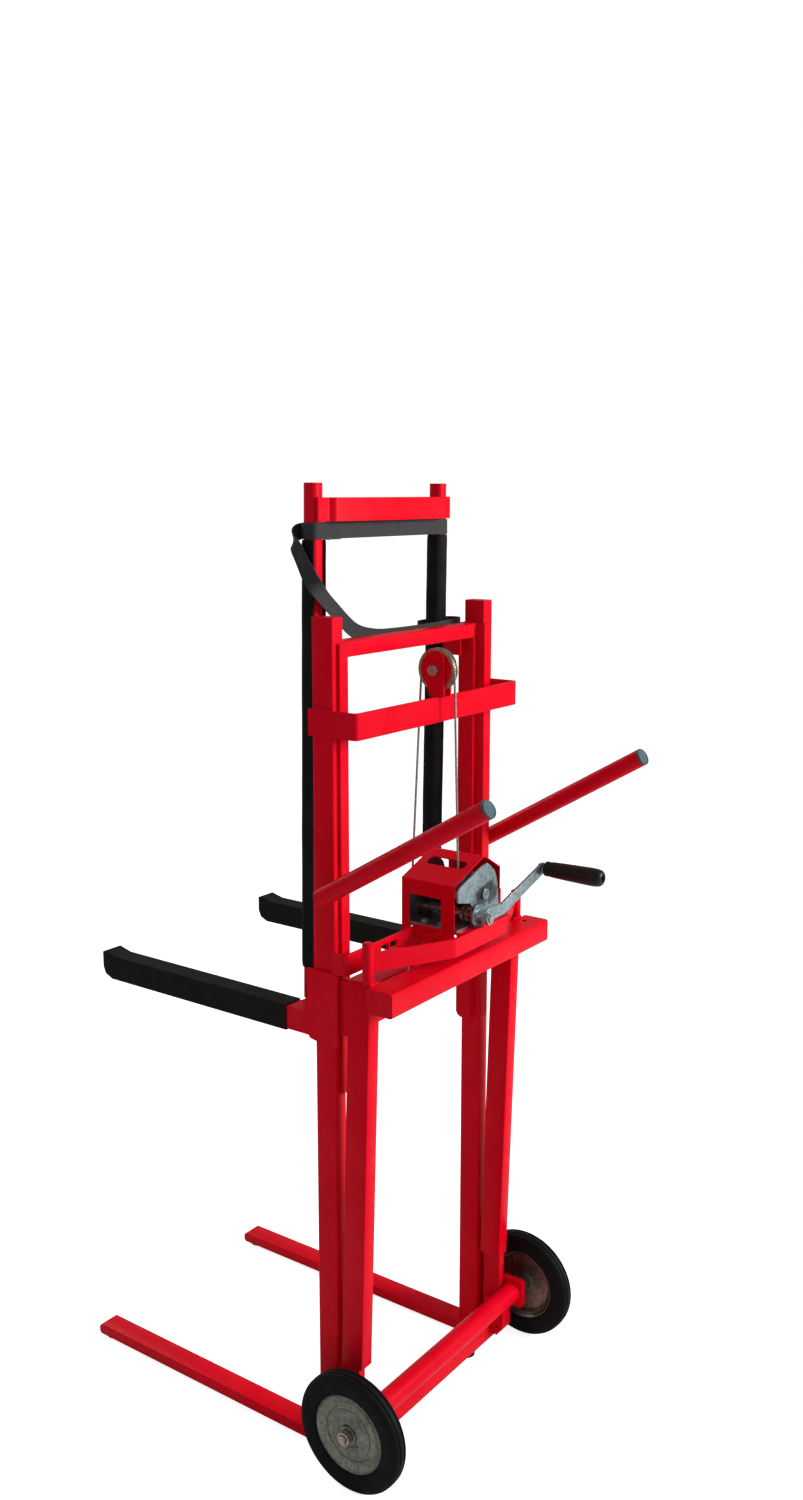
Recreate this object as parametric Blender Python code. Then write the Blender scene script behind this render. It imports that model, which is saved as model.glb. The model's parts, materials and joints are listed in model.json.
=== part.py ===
"""Hand-winch stacker for tall upright loads, such as boilers and water tanks.

A welded mast stands on two floor legs and two rear wheels. A carriage with two
forks and two padded uprights slides on the mast posts, hung from a steel cable
that runs over a pulley to a geared hand winch.

Sizes are metres, +Z up, +Y towards the load, -Y towards the operator. All is
drawn from the mast's own lines: Y = 0 is the rear face of the mast posts. One
root empty then puts the middle of the footprint on the world's origin.
"""

import math

import bmesh
import bpy
from mathutils import Matrix, Vector

for old in list(bpy.data.objects):
    bpy.data.objects.remove(old, do_unlink=True)

# Clearances
GAP = 0.0003
SLIDE_GAP = 0.0005

# Mast posts: square tubes, and their half distance apart
POST_OUT = 0.2226
POST_WIDE = 0.0276
POST_DEEP = 0.040
POST_TOP = 1.396
TUBE_WALL = 0.002
TUBE_CORNER = 0.003
POST_IN = POST_OUT - POST_WIDE

# Floor legs
LEG_WIDE = 0.040
LEG_LOW = 0.0045
LEG_TOP = 0.0245
LEG_TIP = 0.582
LEG_TAIL = 0.0
LEG_END_WALL = 0.006
LEG_IN = POST_OUT - LEG_WIDE
FOOT_RADIUS = 0.016
FRONT_FOOT_INSET = 0.024
FRONT_FOOT_Y = LEG_TIP - FRONT_FOOT_INSET
REAR_FOOT_X = 0.137

# Base bar across, behind the posts and the legs
BASE_BAR_LOW = 0.0065
BASE_BAR_TOP = 0.0465
BASE_BAR_REAR = -0.033
BASE_BAR_FRONT = -GAP

# Rear struts lean back behind the posts
STRUT_TOP = 0.8374
STRUT_LOW = 0.177
STRUT_DEEP = 0.0424
STRUT_FRONT_LOW = -0.0065
STRUT_LEAN = 0.0290
STRUT_FOOT_WIDE = 0.016
STRUT_FOOT_FRONT = -0.0085
STRUT_FOOT_REAR = -0.043
BLOCK_LOW = 0.0185
BLOCK_TOP = 0.0898
BLOCK_REAR = -0.059
BLOCK_FRONT = -0.020
BLOCK_HOLE_Y = -0.046
BLOCK_HOLE_Z = 0.036
BLOCK_HOLE_RADIUS = 0.003
BLOCK_HOLE_DEEP = 0.010
SPACER_IN = 0.2115
SPACER_LOW = 0.745

# Cross member behind the struts
CROSS_HALF = 0.2324
CROSS_REAR = -0.118
CROSS_LOW = 0.798
CROSS_HOLE_X = 0.202
CROSS_HOLE_Y = -0.087
CROSS_HOLE_RADIUS = 0.0045

# Flat bar hoops round the posts
FLAT = 0.005
HOOP_BEND = 0.006
MID_HOOP_LOW = 1.2165
MID_HOOP_TOP = 1.2576
MID_HOOP_FRONT = 0.0434
MID_HOOP_REAR = -0.050
WINCH_HOOP_LOW = 0.8446
WINCH_HOOP_TOP = 0.8794
WINCH_HOOP_FRONT = 0.003
WINCH_HOOP_REAR = -0.026
HOOP_SLOT_LOW = WINCH_HOOP_LOW + 0.0149
HOOP_SLOT_TALL = 0.011
HOOP_SLOT_WIDE = 0.019
HOOP_SLOT_X = (-0.1355, -0.1125)

# Guard bar round the winch, its two stubs and the winch's base plate
GUARD_DROP = 0.0248
GUARD_RISE = 0.0057
GUARD_LOW = WINCH_HOOP_TOP - GUARD_DROP
GUARD_TOP = WINCH_HOOP_TOP + GUARD_RISE
GUARD_REAR = -0.125
GUARD_CORNER_X = 0.0755
GUARD_END_X = 0.2085
GUARD_END_Y = -0.0605
STUB_X = 0.2165
STUB_RADIUS = 0.009
STUB_TOP_LEFT = 0.905
STUB_TOP_RIGHT = 0.8855
BASE_THICK = 0.004

# Handles
HANDLE_RADIUS = 0.0146
HANDLE_WALL = 0.002
HANDLE_FRONT = (0.0155, 0.9662)
HANDLE_TAIL = (-0.2861875, 1.1470)
PLUG_HEAD = 0.005
PLUG_DEEP = 0.025

# Wheels and axle
WHEEL_RADIUS = 0.100
WHEEL_WIDE = 0.030
WHEEL_IN = 0.2487
RIM_RADIUS = 0.066
AXLE_Y = -0.0615
AXLE_TUBE_RADIUS = 0.018
AXLE_TUBE_BORE = 0.0145
AXLE_RADIUS = 0.008
WHEEL_PLATE_THICK = 0.012
WHEEL_PLATE_LOW = 0.0715
WHEEL_PLATE_TOP = 0.125
WHEEL_PLATE_FRONT = -0.036
WHEEL_PLATE_REAR = -0.084
NUT_ACROSS = 0.022
NUT_THICK = 0.010

# Carriage: guide channels that clasp the posts, and the tubes between them
GUIDE_TOP = 1.357
GUIDE_LOW = 0.641
GUIDE_WEB = 0.0045
GUIDE_LIP = 0.2105
SIDE_TUBE_WIDE = 0.0099
SIDE_TUBE_REAR = 0.011
SIDE_TUBE_FRONT = 0.042
SIDE_TUBE_LOW = 0.637
TOP_TUBE_LOW = 1.332
LOW_TUBE_LOW = 0.720
LOW_TUBE_TOP = 0.745
LUG_RADIUS = 0.0055
LUG_TOP = 0.775
LINK_X = 0.1675
LINK_THICK = 0.003
LINK_LOW = 1.302

# Forks
FORK_LOW = 0.7307
FORK_TOP = 0.7696
FORK_IN = 0.190
FORK_OUT = 0.2226
FORK_TIP = 0.5245
FORK_NOSE = 0.020
SLEEVE_START = 0.0995
SLEEVE_WALL = 0.0022
OUTER_PLATE_LOW = 0.727
OUTER_PLATE_REAR = -0.008
OUTER_PLATE_FRONT = 0.052
FORK_CROSS_FRONT = 0.0985

# Padded uprights, leaning back a little
UPRIGHT_X = 0.1675
UPRIGHT_WIDE = 0.025
UPRIGHT_DEEP = 0.026
UPRIGHT_CORNER = 0.009
UPRIGHT_TOP = 1.594
UPRIGHT_FRONT_TOP = 0.0910
UPRIGHT_LEAN = 0.0153
PAD_LOW = 0.824
PAD_TOP = 1.508
PAD_WALL = 0.003
BAR_LOW = 1.5355
BAR_TOP = 1.572
BAR_STEP = 0.009
BAR_STEP_X = 0.150
BAR_CREASE_X = -0.020
BAR_CREASE = 0.005

# Lashing strap
STRAP_WIDE = 0.025
STRAP_THICK = 0.0018
STRAP_Z = 1.5215
BUCKLE_X = -0.100
BUCKLE_HALF = 0.021
BUCKLE_PIN_RADIUS = 0.0022
BUCKLE_STANDOFF = 0.0082
TAIL_BEHIND_Y = SIDE_TUBE_FRONT + 0.0105
TAIL_Z = 1.349

# Pulley and cable
PULLEY_Y = -0.039
PULLEY_Z = 1.300
PULLEY_RADIUS = 0.035
PULLEY_WIDE = 0.014
CABLE_RADIUS = 0.002
ROPE_RADIUS = 0.0325
BRACKET_HALF = 0.0185
BRACKET_TOP = 1.3275
BRACKET_TAPER = 0.010
BRACKET_TAPER_TOP = 1.284
BRACKET_THICK = 0.004
PULLEY_BOLT_RADIUS = 0.005
CABLE_ANCHOR_Y = 0.020

# Winch
CRANK_X = 0.007
CRANK_Z = 0.900
MODULE = 0.002
PINION_TEETH = 10
GEAR_TEETH = 30
MESH_ANGLE = math.radians(50)
COVER_LEFT = -0.047
COVER_RIGHT = 0.091
COVER_FRONT = -0.001
COVER_REAR = -0.105
COVER_LOW = 0.866
COVER_SHEET = 0.0015
EAVE_LEFT = 0.960
EAVE_RIGHT = 0.964
RIDGE_X = 0.042
RIDGE_Z = 0.993
WINDOW_REAR = -0.079
WINDOW_FRONT = -0.0165
WINDOW_LOW = 0.8745
WINDOW_TOP = 0.9345
CABLE_SLOT_X = 0.008
CABLE_SLOT_REAR = -0.0825
CABLE_SLOT_FRONT = -0.0235
CABLE_SLOT_HALF = 0.010
CABLE_SLOT_END = 0.008
CABLE_OFF_DRUM_Y = -0.079
FRONT_PLATE_Y = -0.005
REAR_PLATE_Y = -0.108
WINCH_PLATE = 0.003
WINCH_PLATE_RIGHT = 0.0745
CORNER_OPENING_X = -0.004
CORNER_OPENING_TOP = 0.9335
DRUM_FRONT = -0.011
DRUM_REAR = -0.085
DRUM_CORE = 0.018
DRUM_FLANGE = 0.033
DRUM_BORE = 0.0065
COIL_RADIUS = 0.029
GEAR_Y = -0.0985
GEAR_THICK = 0.007
RATCHET_Y = -0.0895
RATCHET_THICK = 0.004
RATCHET_RADIUS = 0.0128
RATCHET_TEETH = 12
CRANK_SHAFT_RADIUS = 0.006
BRAKE_RADIUS = 0.020
BRAKE_THICK = 0.004
BRAKE_STANDOFF = 0.0035
CRANK_ARM_Y = -0.1304
CRANK_ARM_THICK = 0.0045
CRANK_ARM_WIDE = 0.020
CRANK_JOGGLE = 0.0121
GRIP_X = 0.166
GRIP_Z = 0.950
GRIP_START = -0.150
GRIP_END = -0.259
GRIP_RADIUS_NEAR = 0.0125
GRIP_RADIUS_FAR = 0.0155
SPINDLE_RADIUS = 0.005
PAWL_PIVOT_X = 0.062
PAWL_PIVOT_Z = 0.906

BRAKE_Y = REAR_PLATE_Y - WINCH_PLATE - BRAKE_STANDOFF - BRAKE_THICK
DRUM_X = CRANK_X + MODULE * (PINION_TEETH + GEAR_TEETH) / 2 * math.cos(MESH_ANGLE)
DRUM_Z = CRANK_Z + MODULE * (PINION_TEETH + GEAR_TEETH) / 2 * math.sin(MESH_ANGLE)

COLOURS = {
    "red": ((0.62, 0.004, 0.010), 0.35, 0.0),
    "zinc": ((0.60, 0.64, 0.66), 0.35, 1.0),
    "steel": ((0.42, 0.38, 0.33), 0.45, 1.0),
    "rubber": ((0.016, 0.016, 0.018), 0.75, 0.0),
    "foam": ((0.020, 0.020, 0.022), 0.90, 0.0),
    "plastic": ((0.012, 0.012, 0.014), 0.45, 0.0),
    "webbing": ((0.018, 0.018, 0.020), 0.85, 0.0),
}


# Scene helpers

def empty(name, place, parent=None):
    """A named empty: the root, or the axis that a moving body turns or slides on."""
    marker = bpy.data.objects.new(name, None)
    marker.empty_display_size = 0.05
    marker.location = place
    marker.parent = parent
    bpy.context.collection.objects.link(marker)
    return marker


def handle_end_y():
    """How far back the handle's plug reaches."""
    run = Vector((HANDLE_TAIL[0] - HANDLE_FRONT[0], HANDLE_TAIL[1] - HANDLE_FRONT[1])).normalized()
    return HANDLE_TAIL[0] + run.x * PLUG_HEAD - abs(run.y) * HANDLE_RADIUS


def upright_front(z):
    """The front face of the leaning uprights at this height."""
    return UPRIGHT_FRONT_TOP + UPRIGHT_LEAN * (UPRIGHT_TOP - z)


def strap_face():
    """Where the buckle's back stands, just off the strap's front."""
    return upright_front(STRAP_Z - STRAP_WIDE / 2) + 2 * GAP + STRAP_THICK + GAP


ROOT = empty("stacker", (0, -(LEG_TIP + handle_end_y()) / 2, 0))
BODIES = {
    "mast": (0, 0, 0),
    "carriage": (0, 0, GUIDE_TOP),
    "wheel_left": (-WHEEL_IN, AXLE_Y, WHEEL_RADIUS),
    "wheel_right": (WHEEL_IN, AXLE_Y, WHEEL_RADIUS),
    "pulley": (0, PULLEY_Y, PULLEY_Z),
    "drum": (DRUM_X, GEAR_Y, DRUM_Z),
    "crank": (CRANK_X, CRANK_ARM_Y, CRANK_Z),
    "grip": (GRIP_X, GRIP_START, GRIP_Z),
    "pawl": (PAWL_PIVOT_X, RATCHET_Y, PAWL_PIVOT_Z),
    "buckle": (BUCKLE_X, strap_face() + BUCKLE_STANDOFF, STRAP_Z),
}
AXES = {name: empty(name + "_axis", place, ROOT) for name, place in BODIES.items()}


def material(name, kind):
    """The sub-part's own material, from the table of finishes."""
    colour, roughness, metallic = COLOURS[kind]
    made = bpy.data.materials.new(name + "_" + kind)
    made.use_nodes = True
    shader = made.node_tree.nodes["Principled BSDF"]
    shader.inputs["Base Color"].default_value = (*colour, 1)
    shader.inputs["Roughness"].default_value = roughness
    shader.inputs["Metallic"].default_value = metallic
    made.diffuse_color = (*colour, 1)
    return made


def part(name, form, kind, body="mast", smooth=False):
    """Makes one sub-part from a bmesh drawn in the mast's frame."""
    bmesh.ops.recalc_face_normals(form, faces=form.faces)
    place = Vector(BODIES[body])
    bmesh.ops.translate(form, vec=-place, verts=form.verts)
    mesh = bpy.data.meshes.new(name)
    form.to_mesh(mesh)
    form.free()
    if smooth:
        mesh.shade_smooth()
        mesh.set_sharp_from_angle(angle=math.radians(35))
    made = bpy.data.objects.new(name, mesh)
    made.parent = AXES[body]
    bpy.context.collection.objects.link(made)
    mesh.materials.append(material(name, kind))
    return made


def combine(target, form, operation, label):
    """Cuts a form from a sub-part, or joins it on, with a hidden helper."""
    bmesh.ops.recalc_face_normals(form, faces=form.faces)
    bmesh.ops.translate(form, vec=-target.parent.location, verts=form.verts)
    mesh = bpy.data.meshes.new(label)
    form.to_mesh(mesh)
    form.free()
    helper = bpy.data.objects.new(label, mesh)
    helper.parent = target.parent
    helper.hide_render = True
    helper.display_type = "WIRE"
    bpy.context.collection.objects.link(helper)
    step = target.modifiers.new(label, "BOOLEAN")
    step.operation = operation
    step.solver = "EXACT"
    step.object = helper


def cut(target, form, label):
    combine(target, form, "DIFFERENCE", target.name + "_" + label)


def join(target, form, label):
    combine(target, form, "UNION", target.name + "_" + label)


# Form helpers

def rounded(a0, a1, b0, b1, radius, steps=3):
    """A rectangle's outline with its corners as arcs."""
    corners = ((a1, b1, 0), (a0, b1, 90), (a0, b0, 180), (a1, b0, 270))
    outline = []
    for a, b, start in corners:
        inward_a = radius if a == a0 else -radius
        inward_b = radius if b == b0 else -radius
        for step in range(steps + 1):
            angle = math.radians(start + 90 * step / steps)
            outline.append((
                a + inward_a + radius * math.cos(angle),
                b + inward_b + radius * math.sin(angle),
            ))
    return outline


def circle(a, b, radius, steps=24):
    turn = 2 * math.pi / steps
    return [(a + radius * math.cos(turn * i), b + radius * math.sin(turn * i)) for i in range(steps)]


def place_on(axis, u, v, along):
    """The 3-D point of an outline point (u, v) in the plane across an axis."""
    if axis == "X":
        return (along, u, v)
    if axis == "Y":
        return (u, along, v)
    return (u, v, along)


def prism(outline, axis, low, high, form=None):
    """A solid with this outline, from low to high along the axis."""
    form = form or bmesh.new()
    rings = [[form.verts.new(place_on(axis, u, v, at)) for u, v in outline] for at in (low, high)]
    count = len(outline)
    form.faces.new(rings[0])
    form.faces.new(rings[1])
    for i in range(count):
        j = (i + 1) % count
        form.faces.new((rings[0][i], rings[0][j], rings[1][j], rings[1][i]))
    return form


def pipe(outer, inner, axis, low, high, form=None):
    """A tube with two like outlines, open at both ends."""
    form = form or bmesh.new()
    rings = []
    for outline, at in ((outer, low), (outer, high), (inner, high), (inner, low)):
        rings.append([form.verts.new(place_on(axis, u, v, at)) for u, v in outline])
    count = len(outer)
    for k in range(4):
        here, there = rings[k], rings[(k + 1) % 4]
        for i in range(count):
            j = (i + 1) % count
            form.faces.new((here[i], here[j], there[j], there[i]))
    return form


def box(x0, x1, y0, y1, z0, z1, form=None):
    return prism(((x0, y0), (x1, y0), (x1, y1), (x0, y1)), "Z", z0, z1, form)


def rod(axis, a, b, radius, low, high, steps=24, form=None):
    return prism(circle(a, b, radius, steps), axis, low, high, form)


def ordered(low, high, side):
    """Two X values mirrored to one side, lower first."""
    return (low * side, high * side) if side > 0 else (high * side, low * side)


def turned(profile, axis, a, b, steps=32, form=None):
    """A closed profile of (radius, place along the axis), turned about the axis at (a, b)."""
    form = form or bmesh.new()
    rings = []
    for radius, along in profile:
        outline = circle(a, b, radius, steps)
        rings.append([form.verts.new(place_on(axis, u, v, along)) for u, v in outline])
    for k in range(len(rings)):
        here, there = rings[k], rings[(k + 1) % len(rings)]
        for i in range(steps):
            j = (i + 1) % steps
            form.faces.new((here[i], here[j], there[j], there[i]))
    return form


def turned_solid(profile, axis, a, b, steps=32, form=None):
    """A profile from end to end, turned, with a flat face at each end."""
    form = form or bmesh.new()
    rings = []
    for radius, along in profile:
        outline = circle(a, b, radius, steps)
        rings.append([form.verts.new(place_on(axis, u, v, along)) for u, v in outline])
    form.faces.new(rings[0])
    form.faces.new(rings[-1])
    for here, there in zip(rings, rings[1:]):
        for i in range(steps):
            j = (i + 1) % steps
            form.faces.new((here[i], here[j], there[j], there[i]))
    return form


def bent_path(corners, radius, steps=4):
    """A plan line with an arc at each inner corner, save at a bend of a few degrees."""
    points = [Vector(corners[0])]
    for before, corner, after in zip(corners, corners[1:], corners[2:]):
        corner = Vector(corner)
        back = (Vector(before) - corner).normalized()
        ahead = (Vector(after) - corner).normalized()
        half = back.angle(ahead) / 2
        if half > math.radians(84):
            points.append(corner)
            continue
        reach = min(radius / math.tan(half), 0.45 * (Vector(after) - corner).length)
        start = corner + back * reach
        end = corner + ahead * reach
        for step in range(steps + 1):
            t = step / steps
            points.append(start * (1 - t) ** 2 + corner * 2 * t * (1 - t) + end * t ** 2)
    points.append(Vector(corners[-1]))
    return points


def flat_bar(corners, thickness, z0, z1, radius=HOOP_BEND, form=None):
    """A flat bar on edge, bent along a plan line."""
    form = form or bmesh.new()
    path = bent_path(corners, radius)
    sections = []
    for i, here in enumerate(path):
        run_in = (here - path[i - 1]).normalized() if i else None
        run_out = (path[i + 1] - here).normalized() if i + 1 < len(path) else None
        run = ((run_in or run_out) + (run_out or run_in)).normalized()
        across = Vector((-run.y, run.x))
        stretch = 1 / max(0.5, run.dot(run_out or run_in))
        offset = across * (thickness / 2 * stretch)
        pair = (here + offset, here - offset)
        sections.append([
            form.verts.new((pair[0].x, pair[0].y, z0)),
            form.verts.new((pair[0].x, pair[0].y, z1)),
            form.verts.new((pair[1].x, pair[1].y, z1)),
            form.verts.new((pair[1].x, pair[1].y, z0)),
        ])
    form.faces.new(sections[0])
    form.faces.new(sections[-1])
    for here, there in zip(sections, sections[1:]):
        for i in range(4):
            j = (i + 1) % 4
            form.faces.new((here[i], here[j], there[j], there[i]))
    return form


def smooth_line(points, per_span):
    """A Catmull-Rom curve through the points."""
    points = [Vector(p) for p in points]
    ends = [2 * points[0] - points[1]] + points + [2 * points[-1] - points[-2]]
    line = []
    for i in range(1, len(ends) - 2):
        p0, p1, p2, p3 = ends[i - 1:i + 3]
        for step in range(per_span):
            t = step / per_span
            line.append(0.5 * (
                2 * p1 + (p2 - p0) * t + (2 * p0 - 5 * p1 + 4 * p2 - p3) * t ** 2
                + (3 * p1 - p0 - 3 * p2 + p3) * t ** 3
            ))
    line.append(points[-1])
    return line


def ribbon(points, width, thickness, per_span=2):
    """A flat strap along a line, its width as near to upright as the line lets it be."""
    form = bmesh.new()
    line = smooth_line(points, per_span)
    sections = []
    for i, here in enumerate(line):
        run = (line[min(i + 1, len(line) - 1)] - line[max(i - 1, 0)]).normalized()
        up = (Vector((0, 0, 1)) - run * run.z).normalized()
        out = run.cross(up)
        sections.append([
            form.verts.new(here + up * (width / 2 * s) + out * (thickness / 2 * t))
            for s, t in ((-1, -1), (1, -1), (1, 1), (-1, 1))
        ])
    form.faces.new(sections[0])
    form.faces.new(sections[-1])
    for here, there in zip(sections, sections[1:]):
        for i in range(4):
            j = (i + 1) % 4
            form.faces.new((here[i], here[j], there[j], there[i]))
    return form


def cable(name, points, body):
    """A steel cable along these points, with closed ends."""
    data = bpy.data.curves.new(name, "CURVE")
    data.dimensions = "3D"
    data.bevel_depth = CABLE_RADIUS
    data.bevel_resolution = 2
    data.use_fill_caps = True
    spline = data.splines.new("POLY")
    spline.points.add(len(points) - 1)
    place = Vector(BODIES[body])
    for point, at in zip(spline.points, points):
        point.co = (*(Vector(at) - place), 1)
    made = bpy.data.objects.new(name, data)
    made.parent = AXES[body]
    bpy.context.collection.objects.link(made)
    data.materials.append(material(name, "steel"))
    return made


def gear_outline(a, b, teeth, module, phase=0.0):
    """A spur gear's outline: straight-flanked teeth about the pitch circle."""
    pitch = module * teeth / 2
    points = []
    for tooth in range(teeth):
        middle = 2 * math.pi * (tooth + phase) / teeth
        quarter = 2 * math.pi / teeth / 4
        for radius, spread in (
            (pitch - 1.1 * module, -1.30),
            (pitch + 0.85 * module, -0.50),
            (pitch + 0.85 * module, 0.50),
            (pitch - 1.1 * module, 1.30),
        ):
            angle = middle + quarter * spread
            points.append((a + radius * math.cos(angle), b + radius * math.sin(angle)))
    return points


# Mast

def mast_posts():
    for side, word in ((-1, "left"), (1, "right")):
        x0, x1 = ordered(POST_IN, POST_OUT, side)
        outer = rounded(x0, x1, 0, POST_DEEP, TUBE_CORNER)
        post = part("mast_post_" + word, prism(outer, "Z", LEG_TOP + GAP, POST_TOP), "red")
        hollow = box(
            x0 + TUBE_WALL, x1 - TUBE_WALL, TUBE_WALL, POST_DEEP - TUBE_WALL,
            LEG_TOP - TUBE_WALL, POST_TOP - TUBE_WALL,
        )
        cut(post, hollow, "hollow")


def floor_legs():
    side_view = [
        (LEG_TAIL, LEG_LOW), (LEG_TIP - 0.004, LEG_LOW), (LEG_TIP, LEG_LOW + 0.005),
        (LEG_TIP, LEG_TOP - 0.006), (LEG_TIP - 0.005, LEG_TOP), (LEG_TAIL, LEG_TOP),
    ]
    for side, word in ((-1, "left"), (1, "right")):
        x0, x1 = ordered(LEG_IN, POST_OUT, side)
        leg = part("leg_" + word, prism(side_view, "X", x0, x1), "red")
        rounding = leg.modifiers.new("edges", "BEVEL")
        rounding.width = 0.002
        rounding.segments = 2
        rounding.limit_method = "ANGLE"
        rounding.angle_limit = math.radians(50)
        hollow = box(
            x0 + TUBE_WALL, x1 - TUBE_WALL, LEG_TAIL - 0.01, LEG_TIP - LEG_END_WALL,
            LEG_LOW + TUBE_WALL, LEG_TOP - TUBE_WALL,
        )
        cut(leg, hollow, "hollow")


def base_bar():
    outer = rounded(BASE_BAR_REAR, BASE_BAR_FRONT, BASE_BAR_LOW, BASE_BAR_TOP, TUBE_CORNER)
    inner = rounded(
        BASE_BAR_REAR + TUBE_WALL, BASE_BAR_FRONT - TUBE_WALL,
        BASE_BAR_LOW + TUBE_WALL, BASE_BAR_TOP - TUBE_WALL, TUBE_CORNER - TUBE_WALL,
    )
    part("base_cross_bar", pipe(outer, inner, "X", -POST_OUT, POST_OUT), "red")


def leg_feet():
    rear_y = (BASE_BAR_REAR + BASE_BAR_FRONT) / 2
    leg_x = (LEG_IN + POST_OUT) / 2
    for side, word in ((-1, "left"), (1, "right")):
        for place, x, y, high in (
            ("front_foot_", side * leg_x, FRONT_FOOT_Y, LEG_LOW - GAP),
            ("rear_foot_", side * REAR_FOOT_X, rear_y, BASE_BAR_LOW - GAP),
        ):
            profile = ((FOOT_RADIUS - 0.001, 0), (FOOT_RADIUS, 0.001), (FOOT_RADIUS, high))
            part(place + word, turned_solid(profile, "Z", x, y, 20), "rubber")


def strut_front(z):
    return STRUT_FRONT_LOW - STRUT_LEAN * (z - STRUT_LOW)


def strut_section(front_in, rear_in, low, high):
    """The strut's side view between two heights, set in from its front and rear faces."""
    return [
        (strut_front(low) - STRUT_DEEP + rear_in, low), (strut_front(low) - front_in, low),
        (strut_front(high) - front_in, high), (strut_front(high) - STRUT_DEEP + rear_in, high),
    ]


def rear_struts():
    for side, word in ((-1, "left"), (1, "right")):
        x0, x1 = ordered(POST_IN, POST_OUT, side)
        strut = part("rear_strut_" + word, prism(strut_section(0, 0, STRUT_LOW, STRUT_TOP), "X", x0, x1), "red")
        rounding = strut.modifiers.new("edges", "BEVEL")
        rounding.width = 0.0025
        rounding.segments = 2
        rounding.limit_method = "ANGLE"
        rounding.angle_limit = math.radians(50)
        hollow = strut_section(TUBE_WALL, TUBE_WALL, STRUT_LOW + TUBE_WALL, STRUT_TOP - TUBE_WALL)
        cut(strut, prism(hollow, "X", x0 + TUBE_WALL, x1 - TUBE_WALL), "hollow")
        vent_x = side * (POST_IN + 0.0065)
        vent_y = strut_front(STRUT_LOW) - STRUT_DEEP / 2
        vent = rod("Z", vent_x, vent_y, 0.003, STRUT_LOW - 0.01, STRUT_LOW + 2 * TUBE_WALL, 12)
        cut(strut, vent, "vent")
        foot_x = ordered(POST_OUT - STRUT_FOOT_WIDE, POST_OUT - 0.0004, side)
        foot_low = BASE_BAR_TOP + GAP
        foot = box(*foot_x, STRUT_FOOT_REAR, STRUT_FOOT_FRONT, foot_low, STRUT_LOW + 0.0012)
        join(strut, foot, "foot")
        behind_bar = BASE_BAR_REAR - GAP
        block = [
            (behind_bar, BLOCK_LOW), (behind_bar - 0.0133, BLOCK_LOW), (BLOCK_REAR, BLOCK_LOW + 0.0155),
            (BLOCK_REAR, BLOCK_TOP - 0.0103), (BLOCK_REAR + 0.0155, BLOCK_TOP), (BLOCK_FRONT, BLOCK_TOP),
            (BLOCK_FRONT, foot_low), (behind_bar, foot_low),
        ]
        join(strut, prism(block, "X", *ordered(POST_IN, POST_OUT - 0.0004, side)), "block")
        hole_x = ordered(POST_IN - 0.01, POST_IN + BLOCK_HOLE_DEEP, side)
        cut(strut, rod("X", BLOCK_HOLE_Y, BLOCK_HOLE_Z, BLOCK_HOLE_RADIUS, *hole_x, 12), "block_hole")
        spacer_x = ordered(SPACER_IN, POST_OUT - 0.003, side)
        spacer = [
            (strut_front(SPACER_LOW) - 0.001, SPACER_LOW), (-GAP, SPACER_LOW),
            (-GAP, STRUT_TOP - 0.003), (strut_front(STRUT_TOP) - 0.001, STRUT_TOP - 0.003),
        ]
        join(strut, prism(spacer, "X", *spacer_x), "spacer")


def cross_member():
    front = strut_front(STRUT_TOP) - STRUT_DEEP - GAP
    outer = rounded(CROSS_REAR, front, CROSS_LOW, STRUT_TOP, 0.0045)
    member = part("cross_member", prism(outer, "X", -CROSS_HALF, CROSS_HALF), "red")
    hollow = box(
        TUBE_WALL - CROSS_HALF, CROSS_HALF - TUBE_WALL, CROSS_REAR + TUBE_WALL, front - TUBE_WALL,
        CROSS_LOW + TUBE_WALL, STRUT_TOP - TUBE_WALL,
    )
    cut(member, hollow, "hollow")
    hole = rod("Z", CROSS_HOLE_X, CROSS_HOLE_Y, CROSS_HOLE_RADIUS, STRUT_TOP - 0.008, STRUT_TOP + 0.01, 16)
    cut(member, hole, "hole")


def hoop_line(front, rear):
    arm = POST_OUT + GAP + FLAT / 2
    run = rear + FLAT / 2
    return ((-arm, front), (-arm, run), (arm, run), (arm, front))


def hoops():
    line = hoop_line(MID_HOOP_FRONT, MID_HOOP_REAR)
    mid_hoop = part("mid_hoop", flat_bar(line, FLAT, MID_HOOP_LOW, MID_HOOP_TOP), "red")
    line = hoop_line(WINCH_HOOP_FRONT, WINCH_HOOP_REAR)
    hoop = part("winch_hoop", flat_bar(line, FLAT, WINCH_HOOP_LOW, WINCH_HOOP_TOP), "red")
    for number, x in enumerate(HOOP_SLOT_X):
        hole = box(
            x, x + HOOP_SLOT_WIDE, WINCH_HOOP_REAR - 0.01, WINCH_HOOP_REAR + 0.02,
            HOOP_SLOT_LOW, HOOP_SLOT_LOW + HOOP_SLOT_TALL,
        )
        cut(hoop, hole, "slot" + str(number))
    return mid_hoop


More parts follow.
